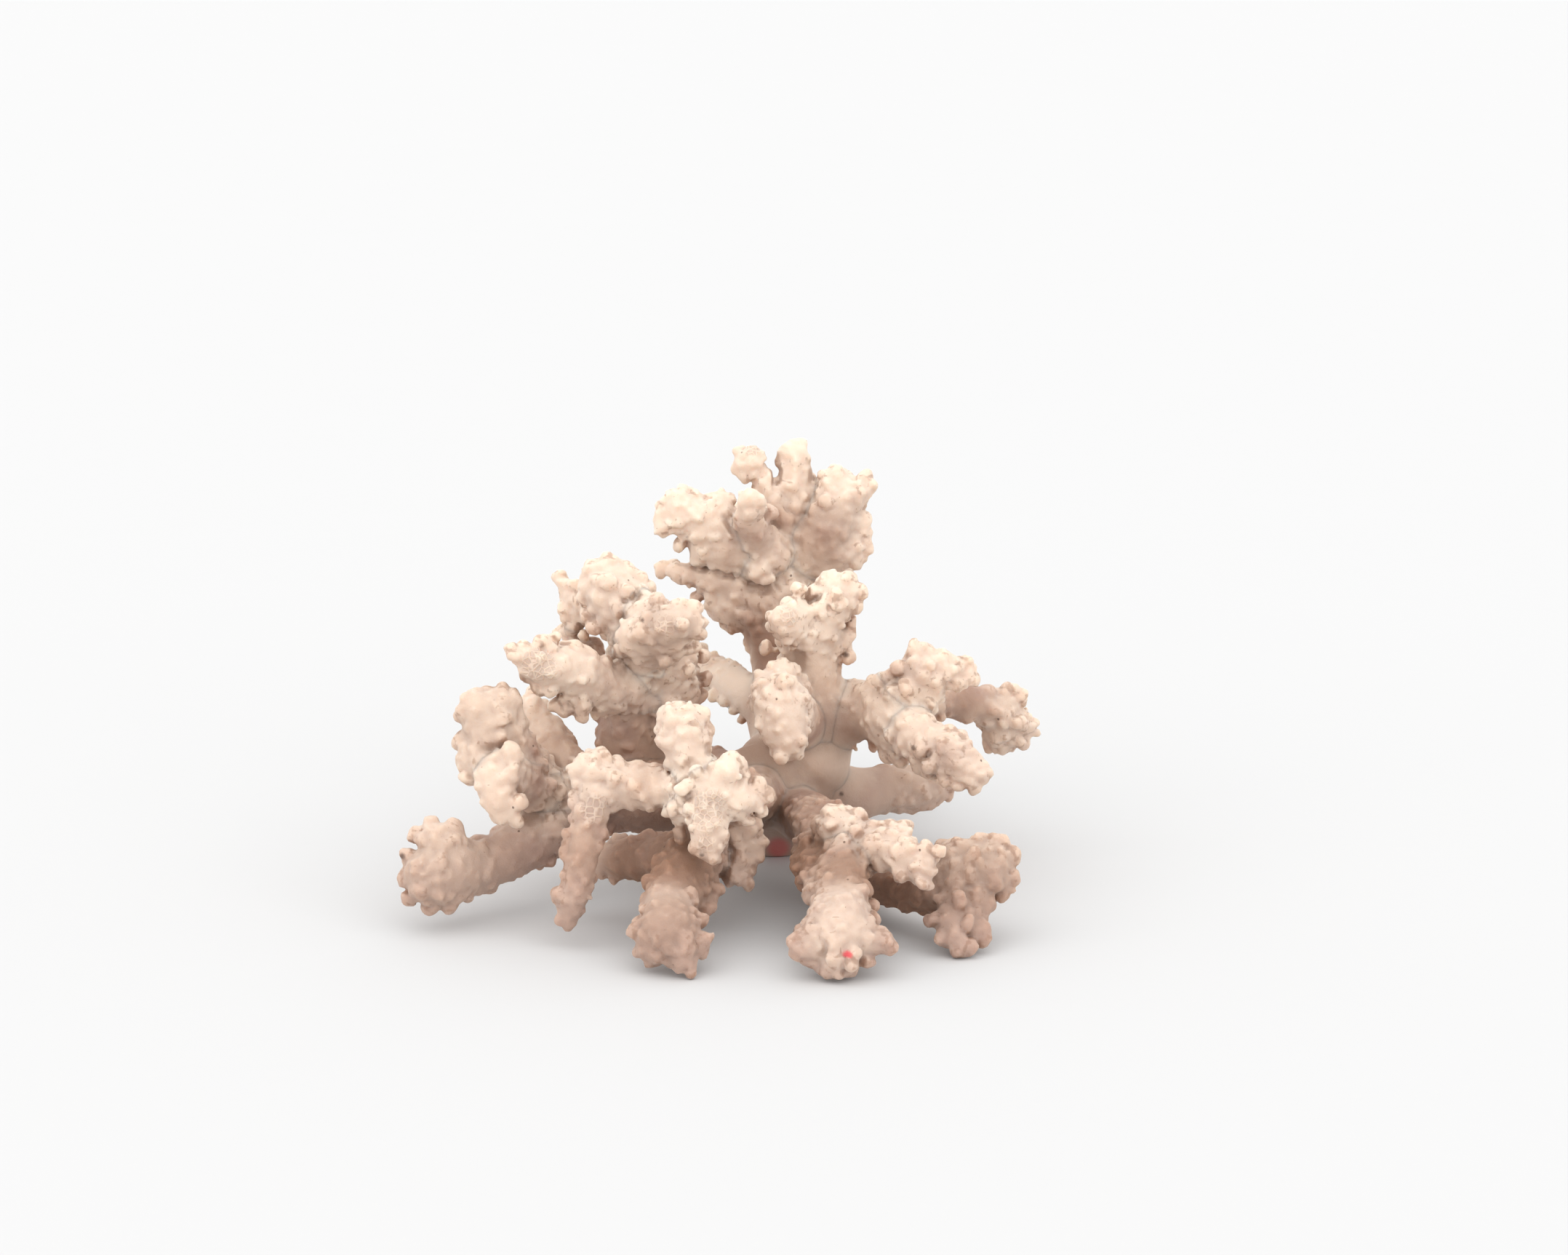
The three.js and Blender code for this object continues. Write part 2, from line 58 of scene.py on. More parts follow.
# The skeleton, as in the model: each piece is a list of limbs, each limb a list of knots
# [x, y, z, radius] in millimetres. The origin is the middle of the flat cut under the trunk.
BRANCHES = {
    "trunk": [
        [[0, 0, 0, 12], [1, -5, 8, 11.5], [3, -17, 21, 12.5]],
        [[3, -19, 22, 12.5], [-2, -25, 21, 10.5]],
        [[3, -19, 22, 11.5], [9, -19, 28, 10.5]],
    ],
    "crown_stem": [
        [[4, -13, 29, 8.5], [3, -7, 39, 6.5], [0, -2, 47.5, 5.5], [-0.5, 0, 54.5, 7],
         [1, 3, 62, 7.5], [3, 6, 67, 7.5]],
        [[-2, 0, 61, 7], [-10, 0, 65, 5], [-18, 0, 68.5, 3.5], [-24.5, 0, 69.5, 2]],
        [[-3, 0, 56, 5.5], [-9.5, -1, 59, 3.5], [-14, -1, 61, 2.5]],
    ],
    "crown_left_arm": [
        [[3, 6, 68.5, 7.5], [-7.5, 0, 76.5, 7], [-17, -3, 82, 6.5], [-23, -4, 86.5, 4.5]],
        [[-12, -2, 81.5, 5], [-13, -3, 85.5, 3]],
        [[-22.5, -4, 83.5, 4], [-27, -5, 82, 2]],
        [[-4, 0, 72.5, 5.5], [-11, -2, 74.5, 4.5], [-17.5, -3, 75, 3]],
    ],
    "crown_right_arm": [
        [[3, 6, 68.5, 7.5], [11.5, 6, 75.5, 8], [16, 6, 83.5, 7], [17, 6, 88.5, 4.5]],
        [[15.5, 6, 85.5, 5], [21.5, 5, 88.5, 3.5], [23.5, 5, 88, 2]],
        [[16, 6, 79.5, 5.5], [22.5, 5, 80, 2.5]],
        [[11.5, 6, 71.5, 7], [18.5, 5, 73.5, 4.5], [21, 5, 73.5, 2.5]],
        [[14.5, 6, 87.5, 4.5], [15, 6, 91.5, 2.5]],
    ],
    "crown_spires": [
        [[6, 7, 75, 6], [6, 8, 85, 4.5], [6, 9, 92, 4], [5.5, 9, 97.5, 3]],
        [[4.5, 6, 75.5, 6], [1, 7, 83.5, 5], [-2.5, 7, 90, 3], [-4, 7, 93.5, 2.5],
         [-6, 7, 95, 2.5]],
        [[1.5, 2, 73.5, 6.5], [-4, -5, 79.5, 4.5], [-6, -10, 86, 3.5], [-5, -12, 90, 3]],
        [[0, -2, 73.5, 6], [-3, -4, 70.5, 3.5]],
    ],
    "upper_right_branch": [
        [[7, -17, 30, 9.5], [10.5, -21, 37.5, 8], [9, -24, 48.5, 7.5], [8, -27, 58, 7]],
        [[7, -28, 58.5, 6], [4, -36, 64.5, 4.5], [2.5, -39, 66.5, 3.5]],
        [[7, -30, 61.5, 4.5], [6, -34, 67.5, 2.5]],
        [[9.5, -28, 58.5, 6.5], [14, -29, 66, 5.5], [15.5, -29, 71, 4], [15, -29, 73, 2.5]],
        [[15, -29, 68, 4.5], [19.5, -29, 70.5, 2.5]],
        [[12.5, -27, 59, 5], [16.5, -25, 59, 3]],
    ],
    "oval_front_lobe": [
        [[7, -23, 36, 8.5], [5, -38, 42, 6.5], [2.5, -47, 48, 6]],
        [[1, -45, 51, 5], [2, -48, 46.5, 6.5], [3.5, -50, 40.5, 6], [4, -49, 37.5, 4]],
        [[1, -43, 49.5, 4], [-2, -42, 51, 2.5]],
        [[5, -34, 47.5, 6.5], [2.5, -40, 53, 3.5]],
    ],
    "right_stem": [
        [[10, -19, 30, 8.5], [18.5, -22, 38, 7], [25.5, -27, 41, 7.5], [30, -34, 42, 8.5]],
        [[13, -20, 43, 6], [18.5, -22, 42, 4.5]],
        [[25, -28, 43, 6], [24.5, -30, 46.5, 3]],
        [[26, -31, 38.5, 6.5], [30, -36, 35.5, 4.5]],
    ],
    "right_upper_arm": [
        [[30.5, -34, 42, 7.5], [34, -37, 49.5, 5.5], [37, -38, 54, 5], [40, -38, 55.5, 3.5]],
        [[35, -38, 54, 4], [34.5, -38, 58, 2]],
        [[38, -38, 52, 4.5], [43, -37, 52.5, 3.5], [46.5, -36, 52.5, 2.5]],
        [[33, -37, 46.5, 6], [36.5, -36, 46.5, 4.5]],
    ],
    "right_lower_arm": [
        [[30.5, -35, 40.5, 7.5], [34.5, -43, 39, 6], [40, -49, 37, 4.5], [45, -53, 33.5, 4],
         [47.5, -54, 32, 2.5]],
        [[38.5, -48, 38, 4], [43, -49, 38, 2]],
        [[45.5, -53, 33, 3], [49, -53, 33.5, 2]],
        [[34.5, -45, 37.5, 5], [38, -48, 32.5, 3]],
    ],
    "right_rear_arm": [
        [[31.5, -29, 43.5, 6.5], [42, -19, 41, 4.5], [50.5, -13, 39, 4.5], [58, -9, 35, 5],
         [60.5, -8, 33.5, 4]],
        [[57, -10, 38, 3.5], [60.5, -10, 40, 2]],
        [[55.5, -9, 33.5, 5], [55.5, -8, 30, 4]],
        [[60, -8, 33, 3.5], [63.5, -7, 32, 2]],
        [[58, -9, 32, 4.5], [60.5, -8, 30, 3]],
    ],
    "right_side_branch": [
        [[7, -17, 21, 9.5], [20, -13, 16.5, 6.5], [28.5, -9, 16, 6], [36, -7, 16, 6],
         [40, -6, 15, 4]],
    ],
    "front_right_leg": [
        [[6, -33, 17, 9], [13.5, -56, 19.5, 7], [17, -71, 20.5, 7], [16.5, -87, 18, 6.5],
         [16, -98, 14, 7], [15.5, -107, 11, 8]],
        [[14.5, -108, 10, 5.5], [10, -110, 8, 4], [7, -111, 7.5, 2.5]],
        [[17, -109, 10, 5.5], [22, -109, 8, 3], [24.5, -109, 7.5, 2]],
        [[15.5, -110, 9, 5.5], [14.5, -112, 4, 2.5]],
        [[6, -41, 20, 6.5], [10, -63, 19.5, 4], [9.5, -80, 16.5, 3.5], [11, -95, 14.5, 3]],
    ],
    "front_right_arm": [
        [[15.5, -73, 23, 7.5], [15, -77, 26, 4.5]],
        [[16.5, -75, 23, 7], [24, -83, 23, 5], [30.5, -90, 22.5, 4.5], [35, -94, 22.5, 2.5]],
        [[25.5, -83, 23.5, 4.5], [29.5, -82, 25.5, 2]],
        [[31.5, -91, 21.5, 3.5], [34, -95, 19, 2]],
    ],
    "low_right_fan": [
        [[7, -31, 16, 8.5], [18, -49, 8.5, 6], [28, -67, 8, 4.5], [36, -77, 10.5, 5],
         [43.5, -81, 14, 7.5]],
        [[43.5, -81, 14.5, 6.5], [47, -80, 19, 5.5], [48.5, -79, 21.5, 3]],
        [[45, -81, 16, 6], [51, -82, 18, 4.5], [53.5, -82, 19.5, 2.5]],
        [[47.5, -82, 14.5, 5.5], [53, -83, 14.5, 2.5]],
        [[41.5, -79, 15.5, 4.5], [40, -77, 20, 2]],
        [[42.5, -83, 12.5, 6], [42, -89, 7.5, 4.5], [41.5, -93, 4.5, 3]],
        [[44, -87, 9, 4.5], [47, -91, 5.5, 2]],
        [[45.5, -84, 12.5, 6], [48.5, -86, 10, 3]],
    ],
    "upper_left_stem": [
        [[-4, -25, 23, 9.5], [-19.5, -27, 20, 7], [-33.5, -31, 28.5, 7.5], [-35.5, -34, 38.5, 7],
         [-32, -36, 48, 7], [-30, -38, 56.5, 8]],
        [[-19.5, -25, 25, 6], [-23.5, -28, 35, 7.5], [-24, -33, 47, 7.5], [-24.5, -37, 56, 7.5]],
    ],
    "upper_left_lobe": [
        [[-30, -38, 57, 6.5], [-34, -38, 65, 7], [-36.5, -38, 71, 8], [-37.5, -38, 74, 6]],
        [[-38, -38, 73.5, 5.5], [-40, -37, 77.5, 3]],
        [[-35.5, -38, 71.5, 6], [-31, -38, 72.5, 3.5]],
        [[-37.5, -38, 72, 5], [-42.5, -38, 74, 3.5]],
    ],
    "upper_left_front_lobe": [
        [[-30, -41, 57, 7.5], [-26.5, -48, 64, 6.5], [-23, -53, 68, 5.5], [-21, -53, 69, 4.5]],
        [[-30, -46, 61.5, 6], [-32, -50, 65, 4.5]],
        [[-33, -42, 62.5, 7], [-29, -44, 68.5, 5.5]],
        [[-23, -50, 66, 5.5], [-19, -52, 68, 3]],
        [[-26.5, -46, 61, 5], [-21.5, -48, 62.5, 3.5]],
    ],
    "upper_left_rear_lobe": [
        [[-31, -33, 58.5, 6], [-39, -28, 64, 4.5], [-46.5, -24, 67.5, 4], [-49, -22, 70, 2.5]],
        [[-45.5, -25, 64, 4], [-48, -24, 64.5, 2.5]],
    ],
    "left_middle_branch": [
        [[-30.5, -38, 47.5, 7], [-39.5, -46, 51.5, 6.5], [-47, -54, 57.5, 6.5],
         [-53.5, -60, 60, 5], [-58, -64, 63, 2.5]],
        [[-43.5, -49, 52, 5], [-46.5, -51, 50, 3]],
        [[-37, -43, 49.5, 5.5], [-40.5, -46, 48, 4]],
    ],
    "left_rear_finger": [
        [[-33.5, -32, 46, 5], [-41.5, -26, 50, 3.5], [-47, -23, 56, 3.5], [-48.5, -22, 59, 2.5]],
    ],
    "left_stem": [
        [[-3, -27, 22, 9.5], [-18, -33, 20.5, 9], [-31, -41, 23, 8.5], [-45, -47, 24, 8],
         [-54, -53, 26, 7]],
    ],
    "far_left_lobe": [
        [[-54, -52, 29, 6.5], [-60.5, -60, 38.5, 8], [-65.5, -64, 45, 7.5], [-65.5, -65, 49.5, 5]],
        [[-65.5, -64, 42.5, 7], [-68, -67, 39, 5]],
        [[-62.5, -62, 45.5, 6], [-61.5, -63, 51.5, 3.5]],
        [[-66.5, -65, 48, 5.5], [-68.5, -66, 52, 3.5]],
    ],
    "far_left_front_lobe": [
        [[-52.5, -54, 27.5, 6], [-57.5, -64, 32.5, 5.5], [-62.5, -71, 35.5, 5.5],
         [-62, -74, 31.5, 4.5], [-60, -74, 28, 2.5]],
        [[-61.5, -71, 36, 4.5], [-64.5, -73, 37.5, 3]],
        [[-60.5, -71, 36.5, 3.5], [-59.5, -72, 42.5, 2]],
    ],
    "far_left_rear_finger": [
        [[-45, -45, 26, 6.5], [-50.5, -41, 32.5, 6.5], [-55, -37, 38.5, 5], [-57.5, -35, 43.5, 3]],
    ],
    "low_left_branch": [
        [[-45, -49, 22, 7.5], [-55.5, -57, 17.5, 8], [-67, -65, 13.5, 7], [-76.5, -74, 14, 8.5],
         [-78, -75, 13.5, 7.5]],
        [[-72.5, -71, 17, 6], [-76, -72, 21, 4.5], [-77.5, -72, 21.5, 3.5]],
    ],
    "front_left_leg": [
        [[-5, -35, 19, 9.5], [-13.5, -59, 20, 8], [-18.5, -79, 18, 8], [-22.5, -93, 13.5, 7],
         [-23, -105, 10.5, 7]],
        [[-22, -105, 9, 6], [-19.5, -109, 4.5, 3]],
        [[-19, -79, 19, 7], [-31, -71, 16.5, 5.5], [-39, -66, 15, 4.5]],
        [[-17.5, -78, 15, 5.5], [-15.5, -86, 11, 3]],
        [[-24, -105, 9, 5.5], [-28.5, -105, 6.5, 2.5]],
        [[-21, -105, 9.5, 5.5], [-16.5, -105, 7.5, 2.5]],
        [[-24, -106, 7.5, 4.5], [-26.5, -107, 5.5, 2]],
    ],
    "star_branch": [
        [[-3, -37, 23, 9.5], [-7, -64, 29.5, 5.5], [-14, -87, 37.5, 6.5]],
        [[-13, -87, 38.5, 5.5], [-10, -90, 43, 3]],
        [[-12.5, -87, 37, 6], [-7.5, -88, 36, 4.5], [-4, -87, 35, 2.5]],
        [[-14.5, -87, 35, 6.5], [-14.5, -91, 30, 4.5], [-14, -93, 25.5, 2.5], [-13.5, -93, 24, 2]],
        [[-16.5, -87, 36, 6], [-20, -86, 32.5, 3.5]],
    ],
    "star_finger": [
        [[-17, -86, 41, 6], [-19, -84, 47, 5], [-20, -82, 50.5, 5]],
        [[-20, -82, 50, 4.5], [-22, -81, 52.5, 3]],
        [[-19.5, -82, 50, 4.5], [-17.5, -81, 53, 3]],
        [[-19.5, -83, 48, 4.5], [-23, -82, 48.5, 2]],
        [[-18.5, -83, 47.5, 4.5], [-16, -82, 48, 2]],
    ],
    "star_left_arm": [
        [[-17.5, -85, 37, 6.5], [-29, -80, 36, 5.5], [-38.5, -79, 37, 5.5], [-40.5, -80, 39, 4.5]],
        [[-40.5, -80, 39.5, 4], [-43, -81, 41, 2.5]],
        [[-39.5, -81, 36.5, 5.5], [-41, -83, 30.5, 4.5], [-42.5, -85, 25, 4], [-43, -87, 19, 4],
         [-44.5, -88, 12.5, 4], [-46, -87, 7, 2.5]],
    ],
    "star_low_finger": [
        [[-10, -73, 31, 5.5], [-6.5, -71, 23.5, 4], [-6.5, -72, 18.5, 4], [-7.5, -75, 13.5, 2.5]],
        [[-6.5, -72, 19.5, 3.5], [-3.5, -72, 19, 2]],
    ],
    "rear_left_branch": [
        [[1, -9, 24, 8.5], [-2, -2, 35.5, 5.5], [-10.5, 8, 39, 5], [-18, 16, 41, 5.5],
         [-24, 22, 45, 5]],
        [[-25, 18, 49, 5], [-34, 25, 48, 4.5]],
        [[-29, 22, 51, 4.5], [-28, 24, 55, 3]],
    ],
    "rear_upper_branch": [
        [[6, -9, 30, 8], [10, 5, 39, 6.5], [13, 17, 50, 6], [13, 25, 61, 7], [11, 29, 71, 5.5]],
        [[13, 25, 61, 5.5], [19, 31, 66, 4]],
        [[12, 14, 48, 5], [2, 24, 54, 5], [-2, 30, 60, 4.5]],
    ],
    "crown_rear_arm": [
        [[-1, 4, 60, 6.5], [-4, 14, 69, 6], [-5, 21, 79, 5]],
        [[-4, 14, 69, 5], [-12, 19, 73, 4]],
    ],
    "rear_low_branch": [
        [[-1, -8, 17, 8], [-12, 6, 16.5, 5.5], [-22, 17, 18.5, 6], [-30, 23, 24, 5]],
        [[-21, 16, 19, 5], [-24, 27, 15, 4]],
    ],
    "rear_right_branch": [
        [[10, -7, 24, 8.5], [19, 7, 29, 5.5], [29, 19, 30, 6], [37, 25, 33, 5.5]],
        [[28, 19, 29, 5], [36, 27, 24, 4]],
    ],
    "rear_foot": [
        [[2, -5, 14, 9.5], [4, 13, 11, 7], [7, 29, 7, 6.5], [9, 39, 5, 5]],
        [[5, 21, 9, 5], [0, 33, 9, 4]],
    ],
}

# Knobs that stand out from the limbs on the front and at the edges: the middle of each one's
# round end and its radius, in millimetres.
KNOBS = {
    "crown_spires": [
        [-5, 6.5, 96, 3.9], [5, 9, 97.3, 4], [5, 8, 93, 4.2], [5, 8, 89.5, 4],
        [-5.5, -10, 86.5, 3.2], [-7.5, -6, 82.5, 1.6], [1, -1.5, 78.5, 2.1], [-1.5, 1, 76, 1.8],
        [-3, 7, 88.5, 1.8], [4.5, 7.5, 90.5, 2.2], [7.5, 8.5, 89.5, 1.6], [7, 6, 85.5, 1.8],
        [-0.5, -5, 84.5, 1.8], [-6, -3, 80.5, 4], [-1, -3, 76.5, 3.5], [-8.5, -2, 76.5, 3.8],
    ],
    "crown_left_arm": [
        [-21.5, -3.5, 88.5, 2.8], [-26.5, -3.5, 85, 2.1], [-26.5, -4.5, 81.5, 2.3],
        [-14, -2.5, 86.5, 2], [-11, -2.5, 86.5, 1.8], [-22, -3.5, 77, 1.6], [-17.5, -2, 73, 1.6],
        [-9, -1, 73.5, 1.8], [-13.5, 0, 73, 1.4], [-18, -6, 79.5, 2.1], [-10.5, -4, 79.5, 2.1],
        [-18, -6, 85, 2.3], [-22.5, -7, 83.5, 2.1], [-7.5, -3, 77, 1.8], [-13.5, -5.5, 82, 2],
    ],
    "crown_right_arm": [
        [16, 6, 91.5, 3.2], [22.5, 5, 88.5, 2.7], [23, 5.5, 81.5, 2.2], [21.5, 5, 75.5, 2.3],
        [20, 4.5, 71.5, 1.6], [11.5, 7, 90, 1.8], [22.5, 6, 91.5, 1.4], [20, 5, 85, 1.6],
        [14, 0.5, 77.5, 1.6], [17.5, 2, 81.5, 2], [13, 1.5, 86.5, 2.1], [17.5, 2, 87, 2],
        [19, 2, 74, 1.8], [10.5, 2.5, 84.5, 1.8], [20, 4.5, 79, 1.8],
    ],
    "crown_stem": [
        [-26.5, 1, 69.5, 2], [-24, 1.5, 70.5, 1.4], [-21.5, 0, 68, 1.6], [-6.5, 1, 63.5, 3.2],
        [-0.5, 0.5, 66, 2.7], [-17.5, -1.5, 66.5, 1.6], [-8, -1, 55.5, 1.8], [-18.5, 1, 62.5, 1.6],
        [-14.5, 1, 59.5, 1.6], [-12.5, -1.5, 64, 1.8], [-4, -3.5, 58, 1.6], [-11.5, 1, 56.5, 1.4],
    ],
    "upper_left_lobe": [
        [-38.5, -37, 78.5, 2.4], [-34, -37.5, 77, 2.1], [-30.5, -38, 76, 1.9],
        [-43.5, -37.5, 76.5, 2.2], [-44, -38, 72, 1.7], [-29, -38, 73.5, 1.5],
        [-43.5, -39, 67.5, 1.5], [-41.5, -40.5, 64.5, 1.4], [-38.5, -43.5, 76, 2.2],
        [-34, -44, 74.5, 2], [-41, -42.5, 72.5, 1.9], [-36.5, -45, 69.5, 2], [-30.5, -41, 73, 1.7],
    ],
    "upper_left_rear_lobe": [
        [-51, -21, 71.5, 2.5], [-49.5, -22, 68, 2.1], [-49, -25, 65, 1.6],
        [-47.5, -25.5, 61.5, 1.6], [-47, -25, 71, 1.7], [-46, -27.5, 67, 1.7],
        [-44.5, -29, 59.5, 1.4],
    ],
    "upper_left_front_lobe": [
        [-18.5, -52.5, 71, 2.4], [-21.5, -52.5, 72, 2.2], [-26.5, -51, 72.5, 1.9],
        [-17.5, -53.5, 66.5, 1.9], [-18.5, -48, 61.5, 1.7], [-28, -53, 69.5, 2.2],
        [-30.5, -55, 66.5, 2.2], [-32.5, -46.5, 61.5, 2], [-24.5, -56, 67, 2],
        [-21, -58.5, 69.5, 1.9], [-27, -51, 62.5, 1.9], [-23, -50, 61, 1.7],
    ],
    "upper_left_stem": [
        [-16.5, -35.5, 56, 1.4], [-16.5, -33, 50.5, 1.7], [-17, -30.5, 45, 1.6],
        [-16.5, -28.5, 41, 1.2], [-22, -37.5, 48.5, 1.7], [-27, -39.5, 53, 1.6],
        [-31, -42.5, 57.5, 1.5], [-20, -41, 55, 1.5], [-33, -41, 53.5, 1.5],
    ],
    "left_middle_branch": [
        [-60, -64.5, 64.5, 1.8], [-57, -61.5, 64.5, 1.8], [-51.5, -57, 65, 2],
        [-56.5, -59.5, 58, 1.9], [-54, -58, 54.5, 1.5], [-50.5, -52.5, 48.5, 1.7],
        [-48.5, -52.5, 47, 1.4], [-44.5, -52.5, 46, 1.5], [-47, -53.5, 52, 2.2],
        [-49, -60, 60, 2.2], [-39, -49, 50, 2.2], [-44, -53, 49.5, 1.9], [-53.5, -64, 62.5, 2],
        [-42.5, -51, 59.5, 1.7], [-53, -60, 65, 1.5], [-50.5, -59, 54.5, 1.9],
        [-46.5, -53.5, 62.5, 1.7],
    ],
    "left_rear_finger": [
        [-50.5, -21, 59.5, 2.1], [-47.5, -23.5, 58, 1.8], [-43.5, -23.5, 56, 1.4],
    ],
    "far_left_lobe": [
        [-69, -64.5, 53.5, 2.2], [-62, -62.5, 54, 2.2], [-65.5, -63, 54, 2], [-71, -64.5, 49, 2],
        [-71.5, -65, 43.5, 2.2], [-71, -67.5, 39, 2], [-69.5, -68, 35.5, 1.5], [-59, -63, 52, 1.3],
        [-59, -62.5, 48, 1.3], [-65.5, -68.5, 47, 2.2], [-62, -67.5, 49.5, 2], [-68, -70, 42.5, 2],
        [-68, -67.5, 50.5, 1.8],
    ],
    "far_left_front_lobe": [
        [-62, -74.5, 28, 2], [-58.5, -74.5, 27, 1.8], [-64, -73.5, 31, 1.7],
        [-65.5, -72.5, 34, 1.7], [-63, -71.5, 41, 2.2], [-60, -75, 37, 2], [-61.5, -76, 33, 2],
        [-52.5, -62.5, 31.5, 2], [-50, -59, 29, 1.7], [-56, -61.5, 27, 1.9], [-53.5, -62, 36, 1.7],
        [-57.5, -76, 32, 1.7],
    ],
    "far_left_rear_finger": [
        [-57.5, -32.5, 46.5, 2.1], [-54.5, -34, 43.5, 1.6], [-53.5, -36, 39, 1.6],
        [-58, -34.5, 43, 1.6],
    ],
    "low_left_branch": [
        [-78.5, -70, 25, 2.4], [-82, -71, 22, 2], [-84, -73, 18, 2], [-84.5, -74, 13, 2],
        [-83.5, -75, 8, 2], [-79, -75.5, 6.5, 1.7], [-74, -75, 6.5, 1.5], [-73.5, -70, 24.5, 1.7],
        [-78, -80, 16, 2.3], [-75.5, -74.5, 21, 2], [-80.5, -78.5, 17, 1.8], [-76.5, -80.5, 11, 2],
        [-70.5, -72.5, 8, 1.3], [-79.5, -73, 21, 1.8], [-81, -79.5, 12, 1.8],
    ],
    "star_finger": [
        [-18.5, -80.5, 54.5, 2], [-23, -81, 54, 2], [-16.5, -81, 52.5, 1.5],
        [-24.5, -81.5, 50.5, 1.3], [-15.5, -82, 50, 1.2], [-20.5, -85, 53, 1.8],
        [-17.5, -85, 51, 1.6], [-22.5, -83.5, 48.5, 1.3],
    ],
    "star_branch": [
        [-3, -87, 38, 1.8], [-1.5, -86, 35.5, 1.6], [-2.5, -86, 32.5, 1.7], [-5, -87, 30.5, 1.8],
        [-7.5, -88, 44, 1.8], [-6.5, -87, 40.5, 1.8], [-9, -88, 45, 1.5],
        [-9.5, -88.5, 43.5, 2.1], [-14, -80, 42, 1.7], [-7, -50.5, 30, 1.5], [-4, -42, 25.5, 1.6],
        [-2.5, -39.5, 22.5, 1.7], [-4, -41, 19, 1.6], [-13.5, -93.5, 23.5, 1.6],
        [-16.5, -93, 26.5, 1.6], [-12, -92, 27, 1.5], [-20.5, -86, 27, 1.5], [-13, -83.5, 34, 2.3],
        [-19.5, -91.5, 39.5, 2.1], [-18, -92, 34.5, 2.1], [-12.5, -80, 38.5, 2],
        [-10, -70, 28.5, 2], [-22, -89, 34.5, 1.6], [-15.5, -93.5, 31, 1.8], [-7.5, -64, 30, 1.9],
        [-17, -90.5, 43, 1.8], [-13, -92.5, 32.5, 1.6],
    ],
    "star_left_arm": [
        [-38.5, -79.5, 42.5, 1.7], [-42, -80.5, 42.5, 1.7], [-35, -78, 41.5, 1.3],
        [-31, -78, 40.5, 1.3], [-45, -81, 40.5, 1.7], [-44, -81.5, 38, 1.3], [-43, -82.5, 33, 1.3],
        [-46, -85, 26.5, 1.5], [-46.5, -85.5, 23, 1.3], [-48, -87, 12.5, 1.7],
        [-47.5, -86.5, 9.5, 1.7], [-43.5, -86.5, 15.5, 1.5], [-45, -86.5, 8, 1.5],
        [-38.5, -84.5, 26.5, 1.3], [-40.5, -84, 40, 1.8], [-35.5, -83.5, 39, 1.6],
        [-40.5, -84.5, 35, 1.5], [-43, -86, 28, 1.5], [-44.5, -88, 20, 1.3],
        [-45.5, -88.5, 12.5, 1.7], [-30.5, -84, 37.5, 1.6], [-42, -86.5, 23, 1.3],
    ],
    "star_low_finger": [
        [-3, -71.5, 20, 2], [-5.5, -71, 24.5, 1.7], [-8.5, -74.5, 23, 1.5], [-5, -74, 15.5, 1.5],
        [-9.5, -75, 12.5, 1.5], [-5.5, -75, 12, 1.5], [-3, -73, 17.5, 1.3], [-7.5, -75.5, 18, 1.7],
        [-8, -76.5, 14, 1.5],
    ],
    "upper_right_branch": [
        [6.5, -33, 71.5, 1.7], [13.5, -28.5, 73, 2.3], [18, -29, 73, 2.1], [21, -29, 71, 1.7],
        [20, -29, 67, 1.4], [18.5, -26, 63, 1.4], [17.5, -25, 59, 1.4], [16, -25.5, 56.5, 1.4],
        [3.5, -35, 67, 1.7], [2, -39, 65, 1.7], [3, -35.5, 62.5, 1.6], [8.5, -32, 65.5, 2.3],
        [12, -33, 67.5, 2.1], [10.5, -29.5, 70.5, 1.9], [14, -30.5, 61, 2.3], [7, -33, 62.5, 1.9],
        [16.5, -34, 68.5, 1.9], [18, -26, 53.5, 1.6], [-1, -24, 55.5, 1.6], [4, -29.5, 55, 1.7],
        [15.5, -33, 71, 1.9],
    ],
    "oval_front_lobe": [
        [7.5, -25.5, 46, 1.6], [8.5, -22, 41.5, 1.4], [9, -23, 37, 1.4], [8, -24, 33, 1.6],
        [6.5, -50.5, 36, 1.5], [-2, -46.5, 51.5, 1.7], [-3.5, -44, 47, 1.5],
        [-2.5, -44.5, 42.5, 1.5], [-0.5, -45.5, 38, 1.5], [3, -50, 53, 1.9], [1.5, -49, 49, 1.9],
        [5, -38, 45, 1.9], [2, -41.5, 42, 1.9], [6, -30, 37.5, 1.9], [4, -53.5, 39.5, 1.9],
        [1, -50.5, 41, 1.7], [2.5, -54, 36.5, 1.5],
    ],
    "right_upper_arm": [
        [34, -38, 58.5, 2.1], [41, -38, 56.5, 2.4], [37.5, -37.5, 57, 1.6], [46.5, -36, 53.5, 2.3],
        [48, -36.5, 51, 1.4], [30.5, -38.5, 54, 1.9], [28.5, -36, 51.5, 1.4], [26, -36, 50.5, 1.6],
        [36, -42, 53, 2.2], [41.5, -40, 52, 2.1], [31.5, -42, 50, 2.1], [45, -37.5, 50, 1.7],
        [38, -42, 55.5, 1.5], [28.5, -39.5, 48.5, 1.9],
    ],
    "right_stem": [
        [23.5, -30.5, 47.5, 1.7], [24, -32.5, 44.5, 1.9], [23.5, -32, 40.5, 1.7],
        [25, -34, 38, 2.1], [20.5, -23.5, 30, 1.4], [28, -35, 31.5, 1.9], [31.5, -37, 31.5, 1.6],
        [24.5, -27, 31.5, 1.6], [21.5, -28, 43, 1.6], [27, -34.5, 34.5, 1.9],
    ],
    "right_lower_arm": [
        [41.5, -48, 40, 1.5], [44.5, -49, 39.5, 2.1], [46, -51, 37.5, 1.4], [48.5, -53, 35, 1.5],
